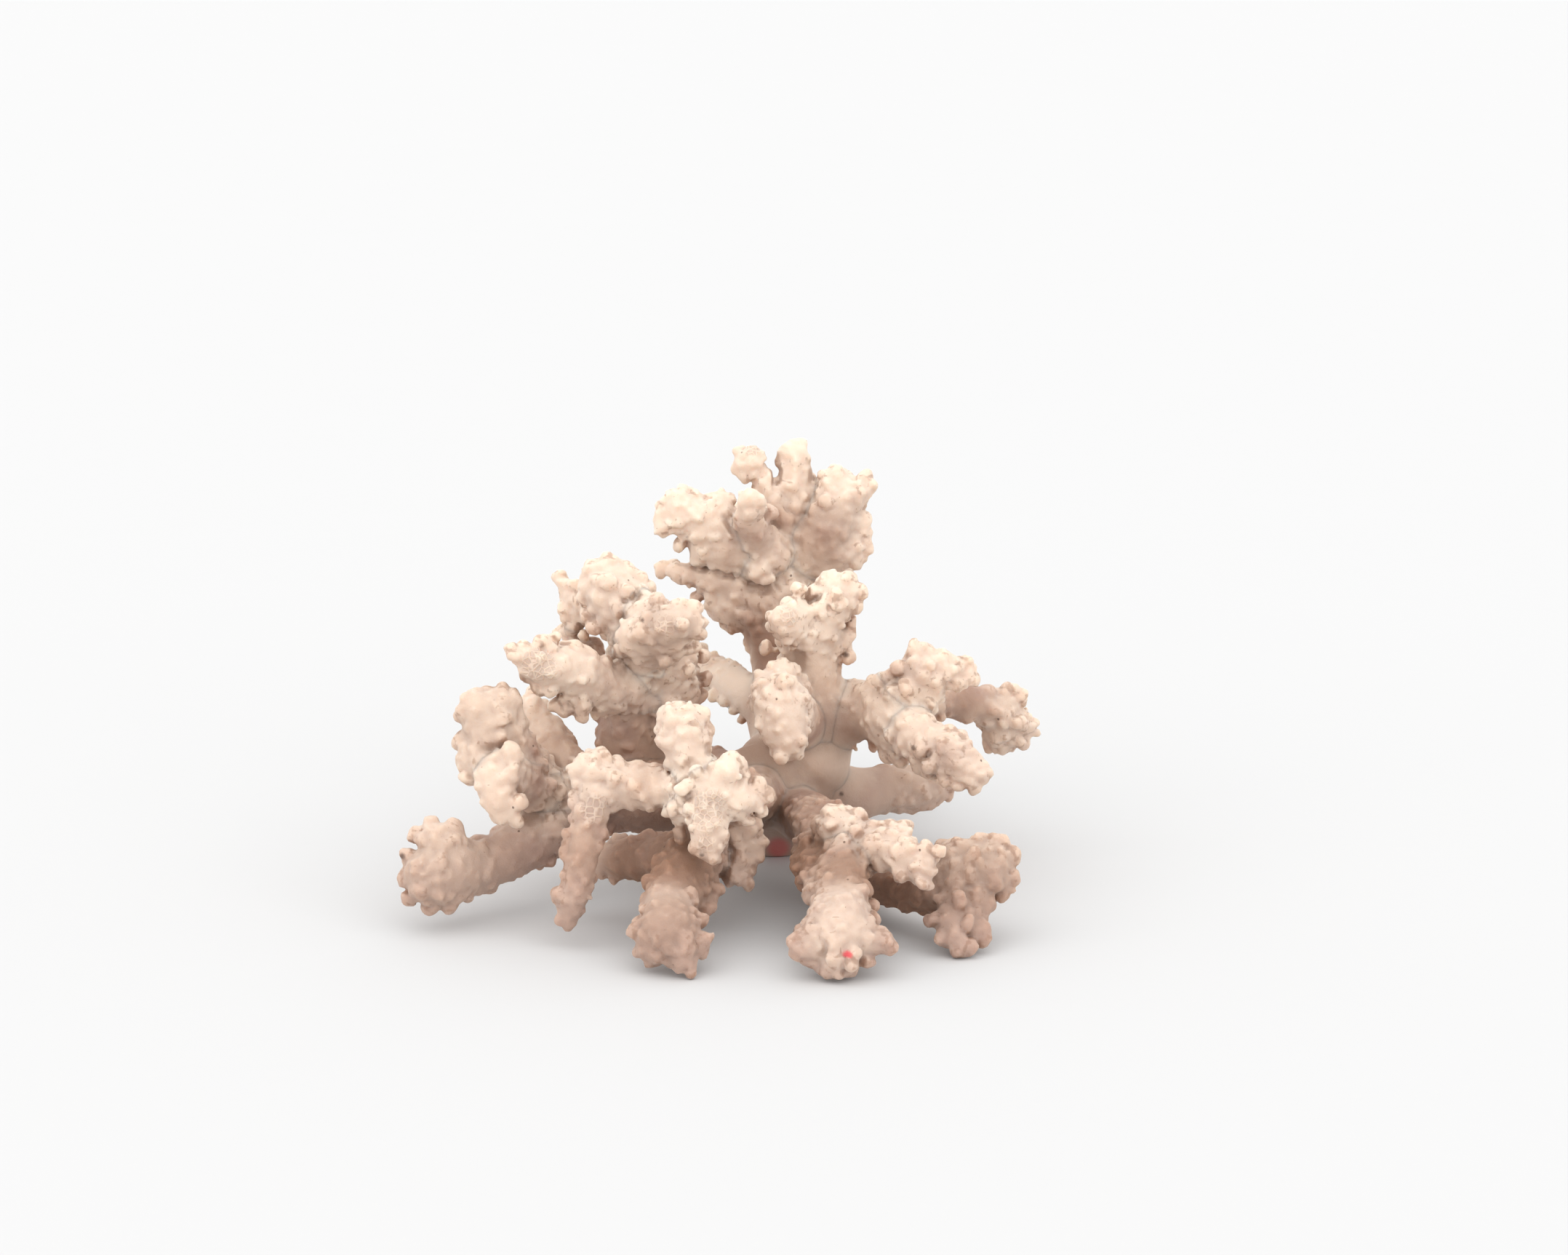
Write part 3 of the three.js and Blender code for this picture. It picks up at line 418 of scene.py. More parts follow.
        [49.5, -54, 31.5, 1.5], [47.5, -54.5, 29.5, 1.5], [44, -54, 29.5, 1.4],
        [35.5, -51, 37.5, 1.9], [37.5, -52, 33.5, 1.7], [41, -52, 31, 1.5], [41, -53.5, 38, 2],
        [44, -55, 35, 2], [32.5, -45, 41, 2.2], [30, -39, 46, 2.1], [29, -41.5, 38.5, 2.1],
        [47, -55.5, 33, 1.7], [35, -39, 44, 2.1], [37, -50.5, 31.5, 1.4],
    ],
    "right_rear_arm": [
        [59.5, -10, 40.5, 1.8], [57, -10, 41, 1.4], [61.5, -8.5, 38, 1.3], [63, -7.5, 32, 2.5],
        [61.5, -9, 28.5, 1.6], [57, -7, 27, 1.8], [53.5, -7, 28, 1.6], [57.5, -13.5, 36, 2.1],
        [54, -15, 38, 2], [60.5, -12, 34.5, 1.8], [57, -9.5, 31, 1.8], [52.5, -12, 41, 1.6],
    ],
    "right_side_branch": [
        [37, -8, 13, 1.8], [41, -6.5, 15, 1.6], [43, -5.5, 16.5, 1.4], [33.5, -8.5, 12.5, 1.4],
        [29.5, -9.5, 12.5, 1.3], [40, -9, 19, 1.8], [36.5, -11.5, 17, 1.8], [32, -12.5, 15, 1.4],
    ],
    "front_right_leg": [
        [6.5, -111, 8, 2.1], [26, -109, 7.5, 2.1], [24, -108.5, 10, 1.6], [14, -112, 3, 2.3],
        [11.5, -110.5, 3, 1.6], [17.5, -110.5, 3, 1.8], [21.5, -109.5, 5, 1.5],
        [10, -110.5, 6, 1.6], [14.5, -114.5, 9.5, 2.2], [18.5, -114, 7.5, 1.9],
        [11.5, -111, 10, 1.9], [21, -111.5, 10, 1.9], [16, -110.5, 11.5, 1.9], [15.5, -99, 15, 2],
        [15.5, -104.5, 13.5, 1.3], [22.5, -97, 13, 1.3], [9.5, -97, 9.5, 1.5],
        [7.5, -100, 8.5, 1.5], [22.5, -100.5, 11.5, 1.3], [7.5, -74.5, 15.5, 1.3],
        [8, -83, 13.5, 1.3], [7, -66.5, 17, 1.4], [8, -111, 9, 1.5], [14, -114.5, 6.5, 1.6],
        [19.5, -106, 12.5, 1.6], [12, -104.5, 12.5, 1.6], [18, -114, 5, 1.4],
    ],
    "front_right_arm": [
        [30, -81, 26, 2], [26, -82, 27, 1.5], [15, -76.5, 27.5, 2], [35, -93, 24.5, 1.6],
        [37.5, -94.5, 25, 1.3], [35.5, -95.5, 20.5, 1.6], [34.5, -97, 18.5, 1.3],
        [30, -93.5, 19.5, 1.3], [20, -83, 26, 2], [24.5, -88.5, 25, 2], [28.5, -92.5, 24.5, 2],
        [33, -95.5, 22, 1.6], [17.5, -82.5, 23.5, 1.7], [22.5, -86, 22, 1.5], [20, -77.5, 28, 1.5],
    ],
    "low_right_fan": [
        [47.5, -80, 23.5, 2], [52, -80.5, 22.5, 2], [55.5, -81, 20, 1.8], [55.5, -83, 15.5, 1.8],
        [53, -83.5, 12, 1.7], [40.5, -75.5, 20.5, 1.5], [44, -80, 22, 1.3], [48, -91, 6, 1.8],
        [45, -94.5, 3, 1.5], [42, -94.5, 2.5, 1.5], [48, -91.5, 3.5, 1.3], [37.5, -88.5, 7.5, 1.3],
        [39, -93, 4.5, 1.3], [30.5, -72.5, 6, 1.3], [46.5, -86, 17.5, 2.2], [43, -91, 12.5, 2],
        [50.5, -84.5, 18, 2], [42, -86.5, 16, 2], [44.5, -93.5, 8, 1.8], [51.5, -86, 15, 1.7],
        [45.5, -85, 21.5, 1.7],
    ],
    "front_left_leg": [
        [-29, -105, 9, 2.1], [-28, -105.5, 5.5, 1.8], [-26.5, -106, 3.5, 1.5],
        [-15.5, -105, 8, 1.9], [-15.5, -105.5, 5.5, 1.5], [-18.5, -108.5, 2.5, 1.6],
        [-21.5, -108, 3.5, 1.5], [-14, -89, 10, 1.7], [-12, -85, 13.5, 1.5], [-24, -108.5, 10, 1.8],
        [-19.5, -110, 9.5, 1.8], [-21.5, -110.5, 7, 1.8], [-18.5, -110, 6.5, 1.6],
        [-26.5, -108, 8, 1.6], [-25.5, -90, 17, 1.3], [-16, -102, 10.5, 1.5],
        [-29.5, -99.5, 10.5, 1.3],
    ],
    "rear_left_branch": [
        [-14.5, 6, 36, 2], [-12, 4, 35, 2.2], [-9.5, 2, 33.5, 2.2], [-7.5, 0, 31.5, 2],
    ],
}

ROOT_SHARE = 0.65  # a limb starts this much narrower, inside the limb that it grows from

# Places on the coral, in millimetres
HUB = (3, -19, 22)
RED_SPOT = (17, -116, 7.5)
RED_SPOT_SQUEEZE = (1.1, 0.3, 1.5)  # the spot is this much narrower along each axis
RED_EDGE = (1.6, -30, 6.4)  # on the underside of the base, in front
RED_EDGE_RADIUS = 2.8
PITTED_SPOTS = {  # where open honeycomb cups show: a middle, how far they reach and how strong
    "star": ((-14, -95, 35), 6, 1),
    "star tip": ((-15, -97, 27), 3.5, 1),
    "front lobe": ((-25, -60, 70), 5, 1),
    "middle branch": ((-53, -65, 61), 5.5, 1),
    "crown nub": ((-5, 6, 99), 3, 1),
    "upper right": ((5, -42, 68), 4, 1),
    "star arm": ((-40, -87, 33), 4, 1),
}

PALE_AND_HIGHLIGHT_SPOTS = {  # where the stone is painted pale: mostly painted highlight where the light falls most, partly the stone's bleached tone; a middle, how far it reaches and how strong
    "star": ((-15, -92, 38), 13, 0.8),
    "star point": ((-10, -90, 44), 5, 1),
    "right foot": ((16, -114, 10), 9, 0.45),
    "crown left": ((-20, -6, 83), 10, 0.95),
    "spires": ((2, 8, 94), 11, 0.8),
    "upper right": ((9, -34, 68), 10, 1),
    "far left front": ((-62, -74, 36), 8, 0.15),
    "oval lobe": ((0, -50, 44), 9, 0.3),
    "rear left": ((-11, 4, 42), 13, 1),
    "rear left end": ((-19, 14, 45), 10, 0.9),
    "middle branch": ((-48, -60, 59), 12, 0.85),
    "right arm": ((27, -88, 25), 9, 0.4),
    "right arm tip": ((15, -80, 28), 6, 0.4),
    "low left": ((-71, -68, 14), 18, 0.12),
    "star arm": ((-33, -82, 36), 9, 0.12),
    "right side": ((27, -14, 18), 14, 0.25),
    "right lower arm": ((33, -44, 41), 10, 0.5),
}

PAINTED_SHADE_SPOTS = {  # painted shade: brown where shade falls, under the star, low down, by the hub and on shaded stems; a middle, how far it reaches and how strong
    "left leg": ((-22, -86, 19), 13, 0.9),
    "left leg side": ((-32, -72, 16), 8, 0.85),
    "right leg": ((17, -92, 17), 9, 0.85),
    "right leg side": ((9, -78, 17), 12, 0.9),
    "fan stem": ((33, -72, 9), 16, 0.85),
    "fan": ((46, -84, 15), 13, 0.4),
    "hub": ((9, -20, 20), 10, 0.75),
    "far left": ((-66, -66, 50), 13, 0.2),
    "hub left": ((-4, -24, 25), 12, 0.8),
    "left foot": ((-23, -105, 11), 8, 0.6),
    "crown neck": ((0, -3, 53), 10, 0.6),
    "right stem": ((16, -25, 36), 9, 0.4),
    "far left foot": ((-77, -78, 15), 12, 0.25),
    "front lobe": ((-25, -56, 65), 9, 0.3),
    "crown right": ((12, 0, 79), 9, 0.3),
}

SOFT_SPOTS = {  # where the lumps are low and soft: a middle, how far it reaches and how strong
    "far left": ((-65, -66, 47), 16, 0.7),
    "far left front": ((-61, -73, 35), 12, 0.7),
    "far left finger": ((-55, -38, 38), 12, 0.6),
    "low left": ((-71, -68, 14), 20, 0.7),
    "low left end": ((-79, -75, 13), 9, 0.6),
    "upper left": ((-38, -44, 74), 10, 0.6),
    "upper left side": ((-29, -45, 59), 8, 0.5),
    "crown left": ((-9, -2, 78), 9, 0.6),
    "crown right": ((12, 0, 78), 11, 0.6),
    "right spire": ((6, 8, 97), 6, 0.5),
    "right arm": ((31, -38, 47), 10, 0.7),
    "right rear arm": ((50, -14, 40), 9, 0.6),
    "star arm": ((-33, -82, 36), 10, 0.7),
    "star top": ((-16, -88, 42), 7, 0.5),
    "left foot": ((-24, -100, 12), 10, 0.5),
    "right foot": ((15, -112, 10), 8, 0.4),
    "middle branch": ((-38, -50, 53), 9, 0.6),
    "fan": ((45, -84, 15), 9, 0.5),
}

DARK_SPECKS = {  # single dark specks, and painted shade for the upper right hole and for the dark gap under the base: a middle and a radius
    "side branch": ((17, -20, 18), 0.6),
    "upper right hole": ((18, -29, 55), 0.7),
    "front lobe": ((-30, -55, 69.5), 0.5),
    "far left foot": ((-85, -76, 18.5), 0.8),
    "right arm": ((33.5, -50, 37.5), 0.6),
    "left leg": ((-15.5, -82, 21.5), 0.5),
    "base": ((7, -32, 9), 1.3),
}

# Fixed choices of the growth
# How each kind of spot fades: full up to the first share of its reach, none from the second
PITTED_FADE = (0.6, 1.0)
PALE_AND_HIGHLIGHT_FADE = (0.5, 1.2)
PAINTED_SHADE_FADE = (0.4, 1.4)
SOFT_FADE = (0.5, 1.3)

# What grows on the skin: the range of the radii, how far the bumps stand out, the least share of
# spots that grow one, whether a line of painted shade runs round them, and how much soft places
# change them
FAR_KNOBS = {"sizes": (1.5, 2.6), "heights": (0.5, 1.8)}
SCALES = {"sizes": (1.4, 2.8), "heights": (0.0, 0.45), "lined": True}
RIM_FINGERS = {"sizes": (0.7, 1.2), "heights": (0.3, 1.5), "lined": True, "softness": 0.5}
LUMPS = {"sizes": (0.7, 1.3), "heights": (0.0, 0.3), "least": 0.04}
GRAINS = 9  # small spots on each knob
KNOB_TRIM = 0.8  # a knob is drawn this much smaller, because its roughness widens it
KNOB_SOFT_SHARE = 0.3  # a knob in the softest place stands out less by this share
KNOB_SOFT_WIDTH = 1.5  # and its fillet is wider by this many widths
FACE_SINK = 0.35  # knobs on the front faces are this share of their radius lower
SOFT_SINK = 0.35  # bumps in the softest place are this share of their radius lower
BURIED = 2.0  # a spot this deep under other skin grows nothing
LEAN = 0.55  # how far bumps lean towards the limb's tip
LEAN_SPREAD = 0.2
RIM_SHARE = 0.4  # fingers stand where the way out is this near to square with the view
GOLDEN_ANGLE = math.pi * (3 - math.sqrt(5))
SEED = 20

# The field, in millimetres
FAR = 5.0  # distances are worked out this far from the skin
PATH_STEP = 2.5
SEAM_REACH = 0.8  # each piece goes on this far under its neighbour
SEAM_SINK = 0.1  # and lies this much lower there
CREASE_WIDTH = 0.5
HOLLOW_REACH = 3.5  # how far out a point looks for other skin
TIP_REACH = 12.0  # the tips' pale colour ends this far from them
STEM_RANGE = (3.0, 22.0)  # the stems' brown, partly their own tone and partly painted shade deep in the colony, starts and is full this far from the tips
TO_VIEW = (0, -0.974, 0.225)  # from the coral towards the camera
SPECK_DEPTH = 14  # a speck goes this far into the coral, as seen by the camera
RED_EDGE_DEPTH = (4, 25)  # the red edge's depth in front of its middle and behind


def number(name, description, default, **limits):
    """A number that the panel shows."""
    return bpy.props.FloatProperty(name=name, description=description, default=default, **limits)


def colour(name, description, default):
    """A colour that the panel shows."""
    return bpy.props.FloatVectorProperty(
        name=name, description=description, subtype="COLOR", size=3, default=default, min=0, max=1)


class CoralShape(bpy.types.PropertyGroup):
    """Sizes of the coral's growth, in millimetres."""

    grain: number(
        "Grid step", "Distance between grid points of the field, in mm",
        0.525, min=0.2)
    fillet: number("Fillet", "Width of the smooth join between limbs, in mm", 3.0)
    thinning: number(
        "Thinning", "Share of a limb's radius that is left to its knobs", 0.2, subtype="FACTOR")
    swell: number("Swell", "Height of the broad uneven swelling, in mm", 0.5)
    crinkle: number("Crinkle", "Height of the fine crinkle on the skin, in mm", 0.16)
    floret: number("Florets", "Height of the round mounds with creases between, in mm", 0.22)
    rough: number("Rough knobs", "How uneven the knobs and lumps are, in mm", 0.6)
    knob_area: number("Knob area", "Skin for each knob on the far side, in square mm", 36)
    knob_fillet: number("Knob fillet", "Width of the smooth join round a knob, in mm", 0.9)
    scale_area: number("Scale area", "Skin for each broad low lump, in square mm", 18)
    rim_area: number("Rim area", "Skin for each small finger on the rims, in square mm", 6)
    rim_fillet: number("Rim fillet", "Width of the smooth join round a rim finger, in mm", 0.75)
    lump_area: number("Lump area", "Skin for each lump, in square mm", 12)
    lump_fillet: number("Lump fillet", "Width of the smooth join round a lump, in mm", 0.6)
    smooth_near: number("Smooth up to", "The skin is smooth this near the hub, in mm", 20)
    lumpy_from: number("Lumpy from", "The skin can be fully lumpy from here on, in mm", 42)
    lumpy_tip: number("Lumpy tip", "The skin is fully lumpy this near a tip, in mm", 7)
    smooth_stem: number("Smooth stem", "The skin is smooth this far from any tip, in mm", 23)


class CoralColours(bpy.types.PropertyGroup):
    """Colours of the coral's skin and of the light and shade painted on it: ivory is partly painted
    highlight, brown and mauve are partly painted shade, and speck also paints the shade in a hole
    and under the base.
    """

    ivory_and_highlight: colour("Ivory", "Tips and outer lumps", (0.73, 0.59, 0.48))
    cream: colour("Cream", "Most of the skin", (0.54, 0.385, 0.295))
    brown_and_shade: colour("Brown", "Hollows and the stems near the trunk", (0.245, 0.135, 0.086))
    mauve_and_shade: colour("Mauve", "Low parts and the feet", (0.37, 0.245, 0.197))
    red: colour("Red", "The spot on the right foot and the edge of the base", (0.62, 0.10, 0.11))
    dust: colour("Dust", "Tiny specks all over", (0.12, 0.07, 0.05))
    speck: colour("Speck", "Single dark specks", (0.10, 0.06, 0.045))


class StudioSettings(bpy.types.PropertyGroup):
    """The floor, the lights and the camera."""

    floor: colour("Floor", "Colour of the floor", (0.60, 0.60, 0.60))
    floor_cloud: colour("Floor cloud", "Faint patches on the floor", (0.58, 0.578, 0.575))
    key_power: number("Key light", "Strength of the light from above", 2.3)
    softness: number(
        "Softness", "Width of the light's patch of sky", math.radians(120), subtype="ANGLE")
    sky: number("Sky", "Strength of the even light from all round", 1.15)
    lens: number("Lens", "Focal length in mm on a 36 mm sensor", 88.8)


def smoothstep(low, high, x):
    """0 below low, 1 above high, and the cubic 3t^2 - 2t^3 between them."""
    t = np.clip((x - low) / (high - low), 0, 1)
    return t * t * (3 - 2 * t)


def smooth_min(a, b, width):
    """The smaller of a and b, less a quarter of width where they are equal, so that the crease
    between two shapes becomes a round fillet."""
    near = np.maximum(width - np.abs(a - b), 0)
    return np.minimum(a, b) - near * near / (4 * width)


def smooth_path(knots):
    """Points and radii along a limb: a centripetal Catmull-Rom curve through its knots. Each
    stretch is the cubic that leaves one knot and reaches the next with the tangents
    (P1-P0)/a - (P2-P0)/(a+b) + (P2-P1)/b, where a and b are the square roots of the chords."""
    knots = np.array(knots, float)
    if knots[0, 2] > 0:
        knots[0, 3] *= ROOT_SHARE
    ends = np.vstack([2 * knots[0] - knots[1], knots, 2 * knots[-1] - knots[-2]])
    chord = np.sqrt(np.linalg.norm(np.diff(ends[:, :3], axis=0), axis=1))[:, None]
    stretch = []
    for i in range(len(knots) - 1):
        before, start, end, after = ends[i:i + 4]
        a, b, c = chord[i:i + 3]
        leave = b * ((start - before) / a - (end - before) / (a + b) + (end - start) / b)
        reach = b * ((end - start) / b - (after - start) / (b + c) + (after - end) / c)
        count = max(2, math.ceil(np.linalg.norm((end - start)[:3]) / PATH_STEP))
        t = (np.arange(count) / count)[:, None]
        stretch.append(
            (2 * t**3 - 3 * t**2 + 1) * start + (t**3 - 2 * t**2 + t) * leave
            + (3 * t**2 - 2 * t**3) * end + (t**3 - t**2) * reach)
    return np.vstack([*stretch, knots[-1:]])


def skin_spots(path, area, rng):
    """Spots on a limb's skin, one for each area: their places, the ways out and along there and
    the limb's radius. The spots share the skin's area evenly along the path and over the tip's
    half sphere, each turned by the golden angle from the last, and are then shaken a little."""
    step = np.linalg.norm(np.diff(path[:, :3], axis=0), axis=1)
    ring = np.pi * (path[1:, 3] + path[:-1, 3]) * step
    so_far = np.concatenate([[0], np.cumsum(ring)])
    dome = 2 * np.pi * path[-1, 3] ** 2
    count = max(1, round((so_far[-1] + dome) / area))
    index = np.arange(count)
    place = (index + rng.uniform(0.1, 0.9, count)) / count * (so_far[-1] + dome)
    turn = index * GOLDEN_ANGLE + rng.uniform(-0.5, 0.5, count) + rng.uniform(0, 6)
    rise = np.arcsin(np.clip((place - so_far[-1]) / dome, 0, 1))[:, None]
    at = np.interp(place, so_far, np.arange(len(path)))
    centre = np.stack([np.interp(at, np.arange(len(path)), path[:, k]) for k in range(4)], 1)
    tangent = np.gradient(path[:, :3], axis=0)
    along = np.stack([np.interp(at, np.arange(len(path)), tangent[:, k]) for k in range(3)], 1)
    along = unit(along)
    side = unit(np.cross(along, np.eye(3)[np.argmin(np.abs(path[-1, :3] - path[0, :3]))]))
    across = np.cross(along, side)
    flat = side * np.cos(turn)[:, None] + across * np.sin(turn)[:, None]
    out = flat * np.cos(rise) + along * np.sin(rise)
    return np.hstack([centre[:, :3] + out * centre[:, 3:], out, along, centre[:, 3:]])


def unit(vectors):
    """Vectors at length 1."""
    return vectors / np.linalg.norm(vectors, axis=1, keepdims=True)


def spread(axes, spacing, value_at):
    """Values known on a lattice, taken to every grid point by smoothstep weights along each axis
    in turn. value_at gives them for the lattice's three axes."""
    weights, places = [], []
    for axis in axes:
        where = (axis - axis[0]) / spacing
        base = np.floor(where).astype(int)
        part = where - base
        part = part * part * (3 - 2 * part)
        table = np.zeros((len(axis), base[-1] + 2), np.float32)
        rows = np.arange(len(axis))
        table[rows, base] = 1 - part
        table[rows, base + 1] = part
        weights.append(table)
        places.append(axis[0] + spacing * np.arange(table.shape[1]))
    made = np.tensordot(weights[0], value_at(*places).astype(np.float32), 1)
    made = np.einsum("xyz,vy->xvz", made, weights[1], optimize=True)
    return made @ weights[2].T


def smooth_noise(axes, wavelength, rng):
    """Random heights from -1 to 1, even over about one wavelength."""
    return spread(axes, wavelength, lambda *places: rng.uniform(-1, 1, [len(p) for p in places]))


class Colony:
    """The whole coral as distances on a grid: skin is the distance to its surface, nearest and
    second are the distances to the two nearest pieces' limbs, and owner says which is nearest.
    crease is 1 on the lines where a lump meets the skin below it, and falls to 0 beside them."""

    def __init__(self, shape):
        self.shape = shape
        self.step = shape.grain
        self.rng = np.random.default_rng(SEED)
        self.own = {}
        self.tips = np.array([limb[-1] for pieces in BRANCHES.values() for limb in pieces])
        self.lay_grid()
        limbs, knobs, hidden = self.lay_limbs()
        axes = [(self.low[k] + self.step * np.arange(self.count[k])) for k in range(3)]
        self.skin += shape.swell * smooth_noise(axes, 8.0, self.rng)
        coarse, fine = smooth_noise(axes, 2.6, self.rng), smooth_noise(axes, 1.3, self.rng)
        self.rough = shape.rough * (coarse + 0.6 * fine)
        self.grow_knobs(knobs)
        self.grow_bumps(hidden, shape.knob_fillet, **FAR_KNOBS)
        self.grow_bumps(self.spots(limbs, shape.scale_area), shape.lump_fillet, **SCALES)
        rims = np.vstack([self.spots(limbs, shape.rim_area), self.grains(knobs)])
        rims = rims[np.abs(rims[:, 3:6] @ TO_VIEW) < RIM_SHARE]
        self.grow_bumps(rims, shape.rim_fillet, **RIM_FINGERS)
        lumps = np.vstack([self.spots(limbs, shape.lump_area), self.grains(knobs)])
        self.grow_bumps(lumps, shape.lump_fillet, **LUMPS)
        self.ripple(axes)
        np.maximum(self.skin, -axes[2].astype(np.float32), out=self.skin)

    def lay_grid(self):
        """An empty grid with room round every limb, from just under the flat cut up."""
        knots = np.array([k for limbs in BRANCHES.values() for limb in limbs for k in limb], float)
        reach = knots[:, 3:] + FAR
        self.low = (knots[:, :3] - reach).min(0)
        self.low[2] = -2 * self.step
        size = (knots[:, :3] + reach).max(0) - self.low
        self.count = np.ceil(size / self.step).astype(int) + 1
        self.skin = np.full(self.count, FAR, np.float32)
        self.crease = np.zeros(self.count, np.float32)
        self.nearest = np.full(self.count, FAR, np.float32)
        self.second = np.full(self.count, FAR, np.float32)
        self.owner = np.full(self.count, -1, np.int8)

    def lay_limbs(self):
        """Adds every limb. Gives the limbs' paths, the stubs of the knobs that are placed one by
        one, and spots for knobs where none are: on the far side, or all round."""
        limbs, knobs, hidden = [], [], []
        for index, (name, pieces) in enumerate(BRANCHES.items()):
            paths = [self.thinned(smooth_path(limb)) for limb in pieces]
            self.add_piece(index, name, paths)
            limbs += paths
            spots = self.spots(paths, self.shape.knob_area)
            if name in KNOBS:
                knobs.append(self.stubs(np.array(KNOBS[name]), np.vstack(paths)))
                spots = spots[spots[:, 4] > 0.1]
            hidden.append(spots)
        return limbs, np.vstack(knobs), np.vstack(hidden)

    def spots(self, paths, area):
        """Spots on the skin of several limbs, one for each area."""
        return np.vstack([skin_spots(path, area, self.rng) for path in paths])

    def grow_knobs(self, knobs):
        """Stands the knobs that are placed one by one on the skin, lower and softer in soft
        places."""
        for stub in knobs:
            soft = near_spots(stub[None, :3] + stub[None, 3:6], SOFT_SPOTS, SOFT_FADE)[0]
            self.add_stub(
                stub[:3], stub[3:6] * (1 - KNOB_SOFT_SHARE * soft), stub[6] - KNOB_TRIM,
                self.shape.knob_fillet * (1 + KNOB_SOFT_WIDTH * soft), lined=True)

    def ripple(self, axes):
        """Raises round mounds between creases, which lie where a noise passes zero, and then a
        fine crinkle, both higher where the skin is lumpy."""
        lumpy = spread(axes, 4.0, self.lumpy_lattice)
        wide, narrow = smooth_noise(axes, 3.2, self.rng), smooth_noise(axes, 1.7, self.rng)
        florets = np.abs(wide) + 0.6 * np.abs(narrow)
        self.skin += self.shape.floret * (0.12 + 0.88 * lumpy) * (0.45 - florets)
        crinkle = smooth_noise(axes, 1.2, self.rng)
        self.skin += self.shape.crinkle * (0.35 + 0.65 * lumpy) * crinkle

    def grains(self, stubs):
        """Spots for the small lumps on the round ends of stubs, with their ways out."""
        ways = unit(self.rng.normal(0, 1, (len(stubs), GRAINS, 3)).reshape(-1, 3))
        stubs = np.repeat(stubs, GRAINS, axis=0)
        ways = unit(ways + 0.8 * unit(stubs[:, 3:6] + 1e-3))
        ends = stubs[:, :3] + stubs[:, 3:6] + ways * stubs[:, 6:]
        return np.hstack([ends, ways, ways, stubs[:, 6:]])

    def stubs(self, knobs, path):
        """Stubs that end in the knobs: each starts on the side of its nearest limb."""
        gap = np.linalg.norm(knobs[:, None, :3] - path[None, :, :3], axis=2) - path[:, 3]
        way = knobs[:, :3] - path[np.argmin(gap, axis=1), :3]
        long = np.linalg.norm(way, axis=1, keepdims=True) + 0.01
        facing = smoothstep(0.3, 0.95, -way[:, 1:2] / long)
        ends = knobs[:, :3] - way / long * facing * FACE_SINK * knobs[:, 3:]
        way *= np.minimum(1, 1.5 * knobs[:, 3:] / long)
        return np.hstack([ends - way, way, knobs[:, 3:]])

    def tip_gap(self, points):
        """The way from each point to the nearest tip of a limb."""
        gap = np.full(len(points), 99.0)
        for tip in self.tips:
            np.minimum(gap, np.linalg.norm(points - tip[:3], axis=1) - tip[3], out=gap)
        return gap

    def lumpy(self, points):
        """0 where the skin is smooth, near the hub and on the stems, and 1 near the tips."""
        from_hub = np.linalg.norm(points - HUB, axis=1)
        shape = self.shape
        return (smoothstep(shape.smooth_near, shape.lumpy_from, from_hub)
                * (1 - smoothstep(shape.lumpy_tip, shape.smooth_stem, self.tip_gap(points))))

    def lumpy_lattice(self, *places):
        """How lumpy the skin is at the points of a lattice with these three axes."""
        grid = np.stack(np.meshgrid(*places, indexing="ij"), 3)
        return self.lumpy(grid.reshape(-1, 3)).reshape(grid.shape[:3])

    def thinned(self, path):
        """A path with smaller radii where lumps will stand on it."""
        path[:, 3] *= 1 - self.shape.thinning * self.lumpy(path[:, :3])
        return path

    def grow_bumps(self, spots, fillet, sizes, heights, least=0.0, lined=False, softness=1.0):
        """Stands a round-ended stub on each spot, which is first moved along its way out to the
        skin as it is by now. Stubs lean towards the limb's tip. There are more and larger ones
        where the skin is lumpy, lower and softer ones in soft places, and none where a spot lies
        well under other skin."""
        place, out, along, radius = np.split(spots, [3, 6, 9], axis=1)
        buried = self.distance(place) < -BURIED
        for _ in range(3):
            place = place - out * self.distance(place)[:, None]
        lumpy = self.lumpy(place)
        kept = (self.rng.uniform(0, 1, len(place)) < least + (1 - least) * lumpy) & ~buried
        size = self.rng.uniform(*sizes, len(place)) * (0.65 + 0.35 * lumpy)
        size = np.minimum(size, 0.75 * radius[:, 0])
        height = self.rng.uniform(*heights, len(place)) * (0.25 + 0.75 * lumpy)
        soft = softness * near_spots(place, SOFT_SPOTS, SOFT_FADE)
        height *= 1 - soft
        lean = unit(out + LEAN * along + self.rng.normal(0, LEAN_SPREAD, out.shape))
        place = place - out * (SOFT_SINK * soft * size)[:, None]
        widths = fillet * (1 + soft)
        for at, way, r, h, width in zip(*(v[kept] for v in (place, lean, size, height, widths))):
            self.add_stub(at - way * r, way * h, r, width, lined)

    def window(self, low, high):
        """The slices of the grid that hold a box, and its three coordinates, to be broadcast."""
        first = np.clip(np.floor((low - self.low) / self.step), 0, self.count - 2).astype(int)
        last = np.clip(np.ceil((high - self.low) / self.step) + 1, first + 2, self.count).astype(int)
        axes = [(self.low[k] + self.step * np.arange(first[k], last[k])).astype(np.float32)
                for k in range(3)]
        slices = tuple(slice(a, b) for a, b in zip(first, last))
        return slices, (axes[0][:, None, None], axes[1][None, :, None], axes[2][None, None, :])

